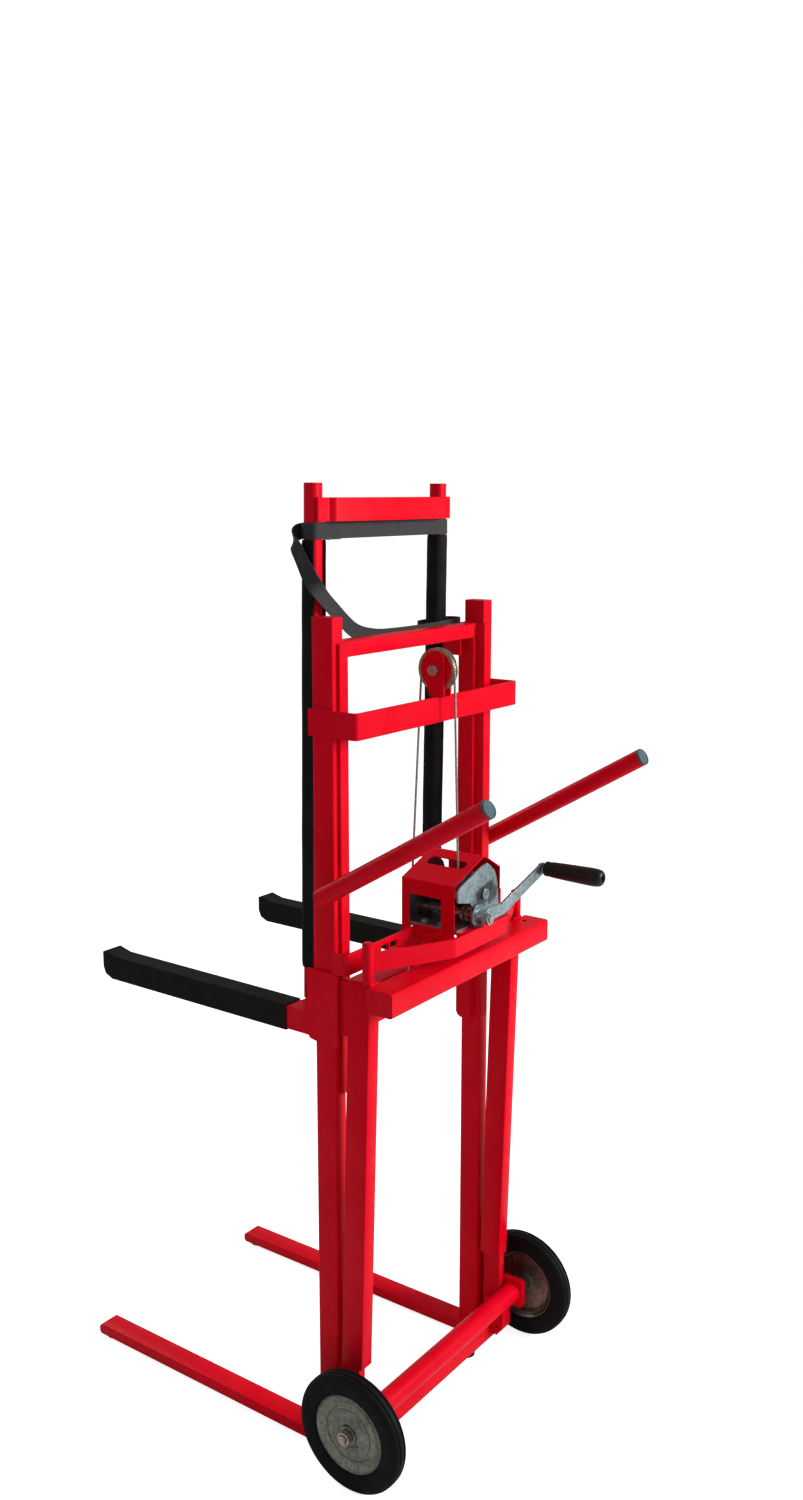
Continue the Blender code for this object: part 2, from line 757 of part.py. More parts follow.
def guard_bar():
    line = (
        (-GUARD_END_X, GUARD_END_Y), (-GUARD_CORNER_X, GUARD_REAR),
        (GUARD_CORNER_X, GUARD_REAR), (GUARD_END_X, GUARD_END_Y),
    )
    bar = part("guard_bar", flat_bar(line, FLAT, GUARD_LOW, GUARD_TOP, 0.008), "red")
    for side, top, word in ((-1, STUB_TOP_LEFT, "left"), (1, STUB_TOP_RIGHT, "right")):
        profile = (
            (STUB_RADIUS, STRUT_TOP + GAP), (STUB_RADIUS, top - 0.002), (STUB_RADIUS - 0.003, top),
        )
        join(bar, turned_solid(profile, "Z", side * STUB_X, GUARD_END_Y, 20), "stub_" + word)
    base_low = WINCH_HOOP_TOP + GAP
    base = box(
        COVER_LEFT + COVER_SHEET + 0.0008, COVER_RIGHT - COVER_SHEET - 0.0008,
        GUARD_REAR, FRONT_PLATE_Y + 0.0005, base_low, base_low + BASE_THICK,
    )
    join(bar, base, "base")
    room = BRAKE_RADIUS + 0.003
    slot = box(
        CRANK_X - room, CRANK_X + room, BRAKE_Y - 0.001, BRAKE_Y + BRAKE_THICK + 0.001,
        base_low - 0.002, base_low + BASE_THICK + 0.002,
    )
    cut(bar, slot, "brake_slot")


def handle_frame(side):
    """The matrix that takes +Z along the handle, from its front end to its tail."""
    x = side * (POST_OUT + GAP + HANDLE_RADIUS)
    start = Vector((x, *HANDLE_FRONT))
    run = Vector((x, *HANDLE_TAIL)) - start
    turn = run.to_track_quat("Z", "X").to_matrix().to_4x4()
    return Matrix.Translation(start) @ turn, run.length


def handles():
    bore = HANDLE_RADIUS - HANDLE_WALL
    for side, word in ((-1, "left"), (1, "right")):
        frame, length = handle_frame(side)
        tube = pipe(circle(0, 0, HANDLE_RADIUS), circle(0, 0, bore), "Z", 0, length)
        bmesh.ops.transform(tube, matrix=frame, verts=tube.verts)
        part("handle_" + word, tube, "red", smooth=True)
        plug = turned_solid(
            (
                (bore - SLIDE_GAP, length - PLUG_DEEP), (bore - SLIDE_GAP, length + GAP),
                (HANDLE_RADIUS, length + GAP), (HANDLE_RADIUS, length + PLUG_HEAD - 0.0015),
                (HANDLE_RADIUS - 0.0015, length + PLUG_HEAD),
            ),
            "Z", 0, 0, 24,
        )
        bmesh.ops.transform(plug, matrix=frame, verts=plug.verts)
        part("handle_plug_" + word, plug, "plastic")


# Wheels

def axle():
    half = POST_OUT + GAP + 0.001
    outer = circle(AXLE_Y, WHEEL_RADIUS, AXLE_TUBE_RADIUS, 28)
    inner = circle(AXLE_Y, WHEEL_RADIUS, AXLE_TUBE_BORE, 28)
    carrier = part("axle_carrier", pipe(outer, inner, "X", -half, half), "red", smooth=True)
    hexagon = circle(AXLE_Y, WHEEL_RADIUS, NUT_ACROSS / math.sqrt(3), 6)
    bore = circle(AXLE_Y, WHEEL_RADIUS, AXLE_RADIUS + GAP, 6)
    outline = rounded(
        WHEEL_PLATE_REAR, WHEEL_PLATE_FRONT, WHEEL_PLATE_LOW, WHEEL_PLATE_TOP, 0.008, 5,
    )
    reach = WHEEL_IN + WHEEL_WIDE + GAP
    for side, word in ((-1, "left"), (1, "right")):
        x0, x1 = ordered(POST_OUT + GAP, POST_OUT + GAP + WHEEL_PLATE_THICK, side)
        join(carrier, prism(outline, "X", x0, x1), "plate_" + word)
        n0, n1 = ordered(reach, reach + NUT_THICK, side)
        part("axle_nut_" + word, pipe(hexagon, bore, "X", n0, n1), "steel")
    hole = rod("X", AXLE_Y, WHEEL_RADIUS, AXLE_RADIUS + SLIDE_GAP, -WHEEL_IN, WHEEL_IN, 24)
    cut(carrier, hole, "shaft_hole")
    end = reach + NUT_THICK + 0.002
    tip = AXLE_RADIUS * math.cos(math.pi / 6) - GAP
    profile = (
        (tip, -end), (tip, -reach + GAP), (AXLE_RADIUS, -reach + GAP),
        (AXLE_RADIUS, reach - GAP), (tip, reach - GAP), (tip, end),
    )
    part("axle_shaft", turned_solid(profile, "X", AXLE_Y, WHEEL_RADIUS, 24), "steel", smooth=True)


def tyre_profile(inner, outer):
    """The tyre's half section: a bead on the rim, rounded shoulders and two grooves."""
    middle = (inner + outer) / 2
    half = (outer - inner) / 2
    shape = (
        (RIM_RADIUS + GAP, -0.80), (RIM_RADIUS + 0.004, -0.97), (WHEEL_RADIUS - 0.014, -1.0),
        (WHEEL_RADIUS - 0.006, -0.93), (WHEEL_RADIUS - 0.0018, -0.72), (WHEEL_RADIUS, -0.45),
        (WHEEL_RADIUS - 0.0022, -0.33), (WHEEL_RADIUS, -0.20), (WHEEL_RADIUS, 0.20),
        (WHEEL_RADIUS - 0.0022, 0.33), (WHEEL_RADIUS, 0.45), (WHEEL_RADIUS - 0.0018, 0.72), (WHEEL_RADIUS - 0.006, 0.93),
        (WHEEL_RADIUS - 0.014, 1.0), (RIM_RADIUS + 0.004, 0.97), (RIM_RADIUS + GAP, 0.80),
    )
    return [(radius, middle + half * across) for radius, across in shape]


def disc_profile(inner, outer):
    """The pressed steel disc: rim, dish and hub tube, as one turned wall."""
    bore = AXLE_RADIUS + SLIDE_GAP
    hub = 0.017
    middle = (inner + outer) / 2
    half = (outer - inner) / 2 - 0.0035
    plate_in = POST_OUT + 2 * GAP + WHEEL_PLATE_THICK
    inside = -1 if inner < 0 else 1
    near = inside * plate_in
    far = inside * (WHEEL_IN + WHEEL_WIDE)
    wall = 0.002 * inside
    rim_in = middle - inside * half
    rim_out = middle + inside * half
    dish = middle + inside * 0.004
    return [
        (bore, near), (hub, near), (hub, dish - wall), (RIM_RADIUS - 0.012, dish - wall),
        (RIM_RADIUS - 0.004, dish - 4 * wall), (RIM_RADIUS - 0.003, rim_in + 2 * wall),
        (RIM_RADIUS - 0.001, rim_in), (RIM_RADIUS, rim_in), (RIM_RADIUS, rim_out),
        (RIM_RADIUS - 0.001, rim_out), (RIM_RADIUS - 0.003, rim_out - 2 * wall),
        (RIM_RADIUS - 0.010, dish + 3 * wall), (RIM_RADIUS - 0.020, dish + 1.5 * wall),
        (hub + 0.006, dish + 1.5 * wall), (hub, dish + 3 * wall), (hub - 0.001, far), (bore, far),
    ]


def wheels():
    for side, word in ((-1, "left"), (1, "right")):
        inner, outer = ordered(WHEEL_IN, WHEEL_IN + WHEEL_WIDE, side)
        body = "wheel_" + word
        tyre = turned(tyre_profile(inner, outer), "X", AXLE_Y, WHEEL_RADIUS, 32)
        part("tyre_" + word, tyre, "rubber", body, True)
        disc = turned(disc_profile(inner, outer), "X", AXLE_Y, WHEEL_RADIUS, 24)
        part("wheel_disc_" + word, disc, "zinc", body, True)


# Pulley

def pulley(mid_hoop):
    half = PULLEY_WIDE / 2
    bore = PULLEY_BOLT_RADIUS + GAP
    groove = ROPE_RADIUS - CABLE_RADIUS - GAP
    profile = [
        (bore, -half), (0.011, -half), (0.012, -half + 0.0015), (PULLEY_RADIUS - 0.007, -half + 0.0015),
        (PULLEY_RADIUS - 0.006, -half + 0.0005), (PULLEY_RADIUS, -half + 0.0015),
        (PULLEY_RADIUS, -half + 0.003), (groove, -CABLE_RADIUS), (groove, CABLE_RADIUS),
        (PULLEY_RADIUS, half - 0.003), (PULLEY_RADIUS, half - 0.0015),
        (PULLEY_RADIUS - 0.006, half - 0.0005), (PULLEY_RADIUS - 0.007, half - 0.0015),
        (0.012, half - 0.0015), (0.011, half), (bore, half),
    ]
    wheel = turned(profile, "X", PULLEY_Y, PULLEY_Z, 24)
    part("pulley_sheave", wheel, "red", "pulley", True)
    plate_in = half + GAP
    rear, front = PULLEY_Y - BRACKET_HALF, PULLEY_Y + BRACKET_HALF
    low = MID_HOOP_TOP - 0.001
    outline = [(y, z) for y, z in rounded(rear, front, low, BRACKET_TOP, 0.010, 5) if z > PULLEY_Z]
    outline += [(rear, low), (front - BRACKET_TAPER, low), (front, BRACKET_TAPER_TOP)]
    for side, word in ((-1, "left"), (1, "right")):
        plate = prism(outline, "X", *ordered(plate_in, plate_in + BRACKET_THICK, side))
        join(mid_hoop, plate, "bracket_" + word)
    cut(mid_hoop, rod("X", PULLEY_Y, PULLEY_Z, bore, -0.05, 0.05, 20), "bolt_hole")
    outside = plate_in + BRACKET_THICK + GAP
    bolt = rod("X", PULLEY_Y, PULLEY_Z, PULLEY_BOLT_RADIUS, -outside - 0.0005, outside + 0.008, 20)
    head = prism(circle(PULLEY_Y, PULLEY_Z, 0.0095, 6), "X", -outside - 0.0065, -outside)
    made = part("pulley_bolt", bolt, "steel")
    join(made, head, "head")
    nut = prism(circle(PULLEY_Y, PULLEY_Z, 0.0095, 6), "X", outside, outside + 0.006)
    join(made, nut, "nut")


# Winch

def roof_z(x, lower=0.0):
    """The height of the cover's outside at x, less an inset."""
    if x < RIDGE_X:
        share = (x - COVER_LEFT) / (RIDGE_X - COVER_LEFT)
        return EAVE_LEFT + (RIDGE_Z - EAVE_LEFT) * share - lower
    share = (COVER_RIGHT - x) / (COVER_RIGHT - RIDGE_X)
    return EAVE_RIGHT + (RIDGE_Z - EAVE_RIGHT) * share - lower


def winch_cover():
    outside = [
        (COVER_LEFT, COVER_LOW), (COVER_LEFT, EAVE_LEFT), (RIDGE_X - 0.004, roof_z(RIDGE_X - 0.004)),
        (RIDGE_X + 0.004, roof_z(RIDGE_X + 0.004)), (COVER_RIGHT, EAVE_RIGHT), (COVER_RIGHT, COVER_LOW),
    ]
    sheet = COVER_SHEET
    inside = [
        (COVER_RIGHT - sheet, COVER_LOW), (COVER_RIGHT - sheet, EAVE_RIGHT - sheet * 0.8),
        (RIDGE_X + 0.0035, roof_z(RIDGE_X + 0.004, sheet)), (RIDGE_X - 0.0035, roof_z(RIDGE_X - 0.004, sheet)),
        (COVER_LEFT + sheet, EAVE_LEFT - sheet * 0.8), (COVER_LEFT + sheet, COVER_LOW),
    ]
    cover = part("winch_cover", prism(outside + inside, "Y", COVER_REAR, COVER_FRONT), "red")
    window = box(COVER_LEFT - 0.02, COVER_LEFT + 0.01, WINDOW_REAR, WINDOW_FRONT, WINDOW_LOW, WINDOW_TOP)
    cut(cover, window, "window")
    notch = (WINCH_HOOP_REAR - SLIDE_GAP, WINCH_HOOP_REAR + FLAT + SLIDE_GAP)
    cut(cover, box(-0.1, 0.15, *notch, COVER_LOW - 0.01, WINCH_HOOP_TOP + SLIDE_GAP), "hoop_notch")
    slot = []
    for y, start in ((CABLE_SLOT_REAR, 180), (CABLE_SLOT_FRONT, 0)):
        for step in range(9):
            angle = math.radians(start + 180 * step / 8)
            slot.append((
                CABLE_SLOT_X + CABLE_SLOT_HALF * math.cos(angle), y + CABLE_SLOT_END * math.sin(angle),
            ))
    cut(cover, prism(slot, "Z", EAVE_LEFT - 0.015, RIDGE_Z + 0.01), "cable_slot")
    pawl_slot = box(
        COVER_RIGHT - 0.01, COVER_RIGHT + 0.01, RATCHET_Y - 0.005, RATCHET_Y + 0.005,
        PAWL_PIVOT_Z - 0.016, PAWL_PIVOT_Z + 0.034,
    )
    cut(cover, pawl_slot, "pawl_slot")


def winch_plate_outline(left, low):
    """The plates' crown, as drops below the cover's roof line, down to their foot."""
    right = WINCH_PLATE_RIGHT
    crown = (
        (right - 0.002, 0.030), (right - 0.0105, 0.0165), (right - 0.0225, 0.013),
        (RIDGE_X - 0.002, 0.0105), (RIDGE_X - 0.018, 0.0065), (left + 0.004, 0.005), (left, 0.0087),
    )
    foot = [(left, low), (right, low), (right + 0.0025, CRANK_Z + 0.009)]
    return foot + [(x, roof_z(x, drop)) for x, drop in crown]


def winch_frame():
    front = (FRONT_PLATE_Y - WINCH_PLATE, FRONT_PLATE_Y)
    rear = (REAR_PLATE_Y - WINCH_PLATE, REAR_PLATE_Y)
    low = WINCH_HOOP_TOP + BASE_THICK + 2 * GAP
    left = COVER_LEFT + COVER_SHEET + 0.001
    outline = winch_plate_outline(left, low)
    frame = part("winch_frame", prism(outline, "Y", *rear), "zinc")
    join(frame, prism(outline, "Y", *front), "front_plate")
    join(frame, box(left, WINCH_PLATE_RIGHT, rear[0] + 0.0005, front[1] - 0.0005, low, low + 0.0025), "floor")
    for x, y, label in ((-0.030, -0.034, "a"), (0.056, -0.034, "b"), (-0.030, -0.070, "c"), (0.056, -0.070, "d")):
        join(frame, prism(circle(x, y, 0.0065, 6), "Z", low + 0.001, low + 0.0075), "bolt_" + label)
    for label, y in (("rear", REAR_PLATE_Y - WINCH_PLATE / 2), ("front", FRONT_PLATE_Y - WINCH_PLATE / 2)):
        span = (y - 0.01, y + 0.01)
        cut(frame, rod("Y", CRANK_X, CRANK_Z, CRANK_SHAFT_RADIUS + GAP, *span, 20), label + "_shaft_hole")
        cut(frame, rod("Y", DRUM_X, DRUM_Z, DRUM_BORE - GAP, *span, 20), label + "_axle_hole")
    corner = [
        (left - 0.001, low - 0.001), (CORNER_OPENING_X, low - 0.001),
        (CORNER_OPENING_X, CORNER_OPENING_TOP - 0.0175), (CORNER_OPENING_X - 0.003, CORNER_OPENING_TOP - 0.0095),
        (left - 0.001, CORNER_OPENING_TOP),
    ]
    cut(frame, prism(corner, "Y", rear[0] - 0.001, rear[1] + 0.0002), "corner_opening")


def drum_parts():
    flange = 0.0015
    profile = [
        (DRUM_FLANGE, DRUM_FRONT), (DRUM_FLANGE, DRUM_FRONT - flange),
        (DRUM_CORE, DRUM_FRONT - flange), (DRUM_CORE, DRUM_REAR + flange),
        (DRUM_FLANGE, DRUM_REAR + flange), (DRUM_FLANGE, DRUM_REAR),
    ]
    drum = part("winch_drum", turned_solid(profile, "Y", DRUM_X, DRUM_Z, 32), "zinc", "drum", True)
    outline = gear_outline(DRUM_X, DRUM_Z, GEAR_TEETH, MODULE, gear_phase())
    gear_rear = GEAR_Y - GEAR_THICK / 2
    gear_front = GEAR_Y + GEAR_THICK / 2
    join(drum, rod("Y", DRUM_X, DRUM_Z, 0.013, gear_front - 0.001, DRUM_REAR + 0.001, 32), "hub")
    join(drum, prism(outline, "Y", gear_rear, gear_front), "gear")
    cut(drum, rod("Y", DRUM_X, DRUM_Z, DRUM_BORE, gear_rear - 0.01, DRUM_FRONT + 0.01, 32), "bore")
    coil = COIL_RADIUS + CABLE_RADIUS
    seat = COIL_RADIUS - CABLE_RADIUS - GAP
    step = CABLE_OFF_DRUM_Y + CABLE_RADIUS + SLIDE_GAP
    rear = DRUM_REAR + flange + GAP
    front = DRUM_FRONT - flange - GAP
    wound = [
        (DRUM_CORE + GAP, front), (coil, front), (coil, step), (seat, step), (seat, rear),
        (DRUM_CORE + GAP, rear),
    ]
    part("cable_on_drum", turned(wound, "Y", DRUM_X, DRUM_Z, 28), "steel", "drum", True)


def gear_phase():
    """Turns the big gear so that one of its gaps faces the pinion."""
    towards_pinion = MESH_ANGLE + math.pi
    return towards_pinion / (2 * math.pi) * GEAR_TEETH + 0.5


def pinion_phase():
    return MESH_ANGLE / (2 * math.pi) * PINION_TEETH


def crank_parts():
    shaft_front = FRONT_PLATE_Y - WINCH_PLATE - 0.0005
    arm_face = CRANK_ARM_Y + CRANK_ARM_THICK / 2
    shaft = rod(
        "Y", CRANK_X, CRANK_Z, CRANK_SHAFT_RADIUS, CRANK_ARM_Y - CRANK_ARM_THICK / 2 - 0.0095, shaft_front + 0.003, 16,
    )
    made = part("crank_shaft", shaft, "steel", "crank")
    teeth = gear_outline(CRANK_X, CRANK_Z, PINION_TEETH, MODULE, pinion_phase())
    join(made, prism(teeth, "Y", GEAR_Y - GEAR_THICK / 2, GEAR_Y + GEAR_THICK / 2), "pinion")
    saw = []
    for tooth in range(RATCHET_TEETH):
        start = 2 * math.pi * tooth / RATCHET_TEETH
        for radius, share in ((RATCHET_RADIUS - 0.003, 0.0), (RATCHET_RADIUS, 0.75), (RATCHET_RADIUS - 0.003, 0.9)):
            angle = start + 2 * math.pi / RATCHET_TEETH * share
            saw.append((CRANK_X + radius * math.cos(angle), CRANK_Z + radius * math.sin(angle)))
    join(made, prism(saw, "Y", RATCHET_Y - RATCHET_THICK / 2, RATCHET_Y + RATCHET_THICK / 2), "ratchet")
    bore = CRANK_SHAFT_RADIUS + GAP
    disc = [
        (bore, BRAKE_Y + BRAKE_THICK), (BRAKE_RADIUS, BRAKE_Y + BRAKE_THICK), (BRAKE_RADIUS, BRAKE_Y),
        (0.012, BRAKE_Y),
        (0.011, arm_face + GAP), (bore, arm_face + GAP),
    ]
    part("brake_disc", turned(disc, "Y", CRANK_X, CRANK_Z, 28), "zinc", "crank", True)
    crank_arm(bore)
    nut_y = CRANK_ARM_Y - CRANK_ARM_THICK / 2 - GAP
    nut = pipe(
        circle(CRANK_X, CRANK_Z, 0.0115, 6), circle(CRANK_X, CRANK_Z, bore / math.cos(math.pi / 6), 6),
        "Y", nut_y - 0.0075, nut_y,
    )
    part("crank_nut", nut, "zinc", "crank")


def crank_arm(bore):
    """A flat arm with a joggle, from the shaft's hub to the grip's spindle."""
    run = Vector((GRIP_X - CRANK_X, GRIP_Z - CRANK_Z))
    length = run.length
    half = CRANK_ARM_THICK / 2
    form = bmesh.new()
    stations = (
        (-0.012, 0.004, 0), (-0.009, 0.0085, 0), (0, 0.0115, 0), (0.014, 0.0115, 0),
        (0.034, 0.0105, CRANK_JOGGLE), (length - 0.002, 0.0095, CRANK_JOGGLE),
        (length + 0.006, 0.0075, CRANK_JOGGLE), (length + 0.0095, 0.003, CRANK_JOGGLE),
    )
    sections = []
    for along, wide, back in stations:
        middle = Vector((CRANK_X, CRANK_Z)) + run.normalized() * along
        across = Vector((-run.y, run.x)).normalized() * wide
        corners = []
        for s, y in ((-1, half), (1, half), (1, -half), (-1, -half)):
            u, v = middle + across * s
            corners.append(form.verts.new((u, CRANK_ARM_Y - back + y, v)))
        sections.append(corners)
    form.faces.new(sections[0])
    form.faces.new(sections[-1])
    for here, there in zip(sections, sections[1:]):
        for i in range(4):
            j = (i + 1) % 4
            form.faces.new((here[i], here[j], there[j], there[i]))
    arm = part("crank_arm", form, "zinc", "crank")
    cut(arm, rod("Y", CRANK_X, CRANK_Z, bore, CRANK_ARM_Y - 0.03, CRANK_ARM_Y + 0.03, 20), "shaft_hole")
    front = CRANK_ARM_Y - CRANK_JOGGLE + half
    spindle = [
        (0.008, front + 0.003), (0.008, front - 0.001), (SPINDLE_RADIUS, front - 0.001),
        (SPINDLE_RADIUS, GRIP_END + 0.006), (SPINDLE_RADIUS - 0.001, GRIP_END + 0.005),
    ]
    join(arm, turned_solid(spindle, "Y", GRIP_X, GRIP_Z, 20), "spindle")


def crank_grip():
    bore = SPINDLE_RADIUS + SLIDE_GAP
    start = min(GRIP_START, CRANK_ARM_Y - CRANK_JOGGLE - CRANK_ARM_THICK / 2 - SLIDE_GAP)
    profile = [
        (bore, start), (GRIP_RADIUS_NEAR - 0.001, start), (GRIP_RADIUS_NEAR, start - 0.001),
        (GRIP_RADIUS_NEAR + 0.0005, start - 0.010), (GRIP_RADIUS_FAR - 0.0012, GRIP_START - 0.050),
        (GRIP_RADIUS_FAR, GRIP_END + 0.024), (GRIP_RADIUS_FAR - 0.001, GRIP_END + 0.010),
        (GRIP_RADIUS_FAR - 0.005, GRIP_END + 0.0025),
        (GRIP_RADIUS_FAR - 0.0095, GRIP_END), (bore, GRIP_END),
    ]
    part("crank_grip", turned(profile, "Y", GRIP_X, GRIP_Z, 20), "plastic", "grip", True)


def drum_axle():
    plate_out = FRONT_PLATE_Y + GAP
    plate_rear = REAR_PLATE_Y - WINCH_PLATE - GAP
    radius = DRUM_BORE - 2 * GAP
    profile = [
        (0.0095, plate_rear - 0.0035), (0.0095, plate_rear), (radius, plate_rear),
        (radius, plate_out), (0.0085, plate_out), (0.0085, plate_out + 0.0025),
    ]
    part("drum_axle", turned_solid(profile, "Y", DRUM_X, DRUM_Z, 24), "zinc", smooth=True)


def ratchet_pawl():
    nose_x = CRANK_X + RATCHET_RADIUS + GAP
    half = RATCHET_THICK / 2
    outline = [
        (nose_x, PAWL_PIVOT_Z - 0.0045), (nose_x + 0.012, PAWL_PIVOT_Z - 0.0065),
        (PAWL_PIVOT_X, PAWL_PIVOT_Z - 0.0075), (COVER_RIGHT + 0.002, PAWL_PIVOT_Z - 0.0055),
        (COVER_RIGHT + 0.003, PAWL_PIVOT_Z - 0.009), (COVER_RIGHT + 0.010, PAWL_PIVOT_Z - 0.009),
        (COVER_RIGHT + 0.0115, PAWL_PIVOT_Z + 0.006), (COVER_RIGHT + 0.009, PAWL_PIVOT_Z + 0.018),
        (COVER_RIGHT + 0.003, PAWL_PIVOT_Z + 0.017), (COVER_RIGHT + 0.002, PAWL_PIVOT_Z + 0.0055),
        (PAWL_PIVOT_X, PAWL_PIVOT_Z + 0.0075), (nose_x + 0.012, PAWL_PIVOT_Z + 0.003),
        (nose_x, PAWL_PIVOT_Z - 0.001),
    ]
    pawl = part("ratchet_pawl", prism(outline, "Y", RATCHET_Y - half, RATCHET_Y + half), "red", "pawl")
    pin = rod("Y", PAWL_PIVOT_X, PAWL_PIVOT_Z, 0.004, REAR_PLATE_Y + GAP, RATCHET_Y + half + 0.002, 16)
    join(pawl, pin, "pin")


def cables():
    """The winch side runs from drum over the pulley, and the other side down to the carriage."""
    off_drum = Vector((DRUM_X - COIL_RADIUS, CABLE_OFF_DRUM_Y, DRUM_Z))
    at_pulley = Vector((0, PULLEY_Y - ROPE_RADIUS, PULLEY_Z - 0.020))
    points = smooth_line([off_drum.lerp(at_pulley, share) for share in (0, 0.2, 0.63, 1)], 3)
    for step in range(13):
        angle = math.pi * (1 - step / 12)
        y = PULLEY_Y + ROPE_RADIUS * math.cos(angle)
        points.append(Vector((0, y, PULLEY_Z + ROPE_RADIUS * math.sin(angle))))
    cable("cable_winch_run", points, "mast")
    top = Vector((0, PULLEY_Y + ROPE_RADIUS, PULLEY_Z - GAP))
    low = Vector((0, CABLE_ANCHOR_Y, LUG_TOP + GAP))
    cable("cable_carriage_run", [top.lerp(low, i / 12) for i in range(13)], "carriage")


# Carriage

def guide_channels():
    web_out = POST_IN - GAP
    web_in = web_out - GUIDE_WEB
    front = POST_DEEP + GAP
    for side, word in ((-1, "left"), (1, "right")):
        outline = [
            (web_in, -GAP - FLAT), (GUIDE_LIP, -GAP - FLAT), (GUIDE_LIP, -GAP), (web_out, -GAP),
            (web_out, front), (GUIDE_LIP, front), (GUIDE_LIP, front + FLAT), (web_in, front + FLAT),
        ]
        outline = [(side * x, y) for x, y in outline]
        channel = part("guide_channel_" + word, prism(outline, "Z", GUIDE_LOW, GUIDE_TOP), "red", "carriage")
        x0, x1 = ordered(web_in - SIDE_TUBE_WIDE, web_in + GUIDE_WEB / 2, side)
        side_view = [
            (SIDE_TUBE_REAR, SIDE_TUBE_LOW), (SIDE_TUBE_FRONT - 0.010, SIDE_TUBE_LOW),
            (SIDE_TUBE_FRONT - 0.004, SIDE_TUBE_LOW + 0.003), (SIDE_TUBE_FRONT, SIDE_TUBE_LOW + 0.010),
            (SIDE_TUBE_FRONT, TOP_TUBE_LOW - GAP), (SIDE_TUBE_REAR, TOP_TUBE_LOW - GAP),
        ]
        join(channel, prism(side_view, "X", x0, x1), "side_tube")


def carriage_tubes():
    half = POST_IN - GAP - GUIDE_WEB - GAP
    outer = rounded(SIDE_TUBE_REAR, SIDE_TUBE_FRONT, TOP_TUBE_LOW, GUIDE_TOP, TUBE_CORNER)
    inner = rounded(
        SIDE_TUBE_REAR + TUBE_WALL, SIDE_TUBE_FRONT - TUBE_WALL,
        TOP_TUBE_LOW + TUBE_WALL, GUIDE_TOP - TUBE_WALL, TUBE_CORNER - TUBE_WALL,
    )
    top = part("carriage_top_tube", pipe(outer, inner, "X", -half, half), "red", "carriage")
    for side, word in ((-1, "left"), (1, "right")):
        x0, x1 = LINK_X * side - LINK_THICK / 2, LINK_X * side + LINK_THICK / 2
        rear_face = upright_front(LINK_LOW) - UPRIGHT_DEEP - GAP
        outline = [
            (0.029, LINK_LOW), (rear_face, LINK_LOW), (rear_face, TOP_TUBE_LOW + 0.004),
            (0.029, TOP_TUBE_LOW + 0.004),
        ]
        lean = UPRIGHT_LEAN * (TOP_TUBE_LOW + 0.004 - LINK_LOW)
        outline[2] = (rear_face - lean, outline[2][1])
        outline[3] = (SIDE_TUBE_FRONT - 0.001, outline[3][1])
        outline.insert(4, (SIDE_TUBE_FRONT - 0.001, TOP_TUBE_LOW + 0.001))
        outline.insert(5, (0.029, TOP_TUBE_LOW + 0.001))
        join(top, prism(outline, "X", x0, x1), "link_" + word)
    low_half = half - SIDE_TUBE_WIDE
    outer = rounded(SIDE_TUBE_REAR, SIDE_TUBE_FRONT, LOW_TUBE_LOW, LOW_TUBE_TOP, TUBE_CORNER)
    inner = rounded(
        SIDE_TUBE_REAR + TUBE_WALL, SIDE_TUBE_FRONT - TUBE_WALL,
        LOW_TUBE_LOW + TUBE_WALL, LOW_TUBE_TOP - TUBE_WALL, TUBE_CORNER - TUBE_WALL,
    )
    low = part("carriage_low_tube", pipe(outer, inner, "X", -low_half, low_half), "red", "carriage")
    lug = rod("Z", 0, CABLE_ANCHOR_Y, LUG_RADIUS, LOW_TUBE_TOP - 0.001, LUG_TOP, 16)
    join(low, lug, "cable_lug")


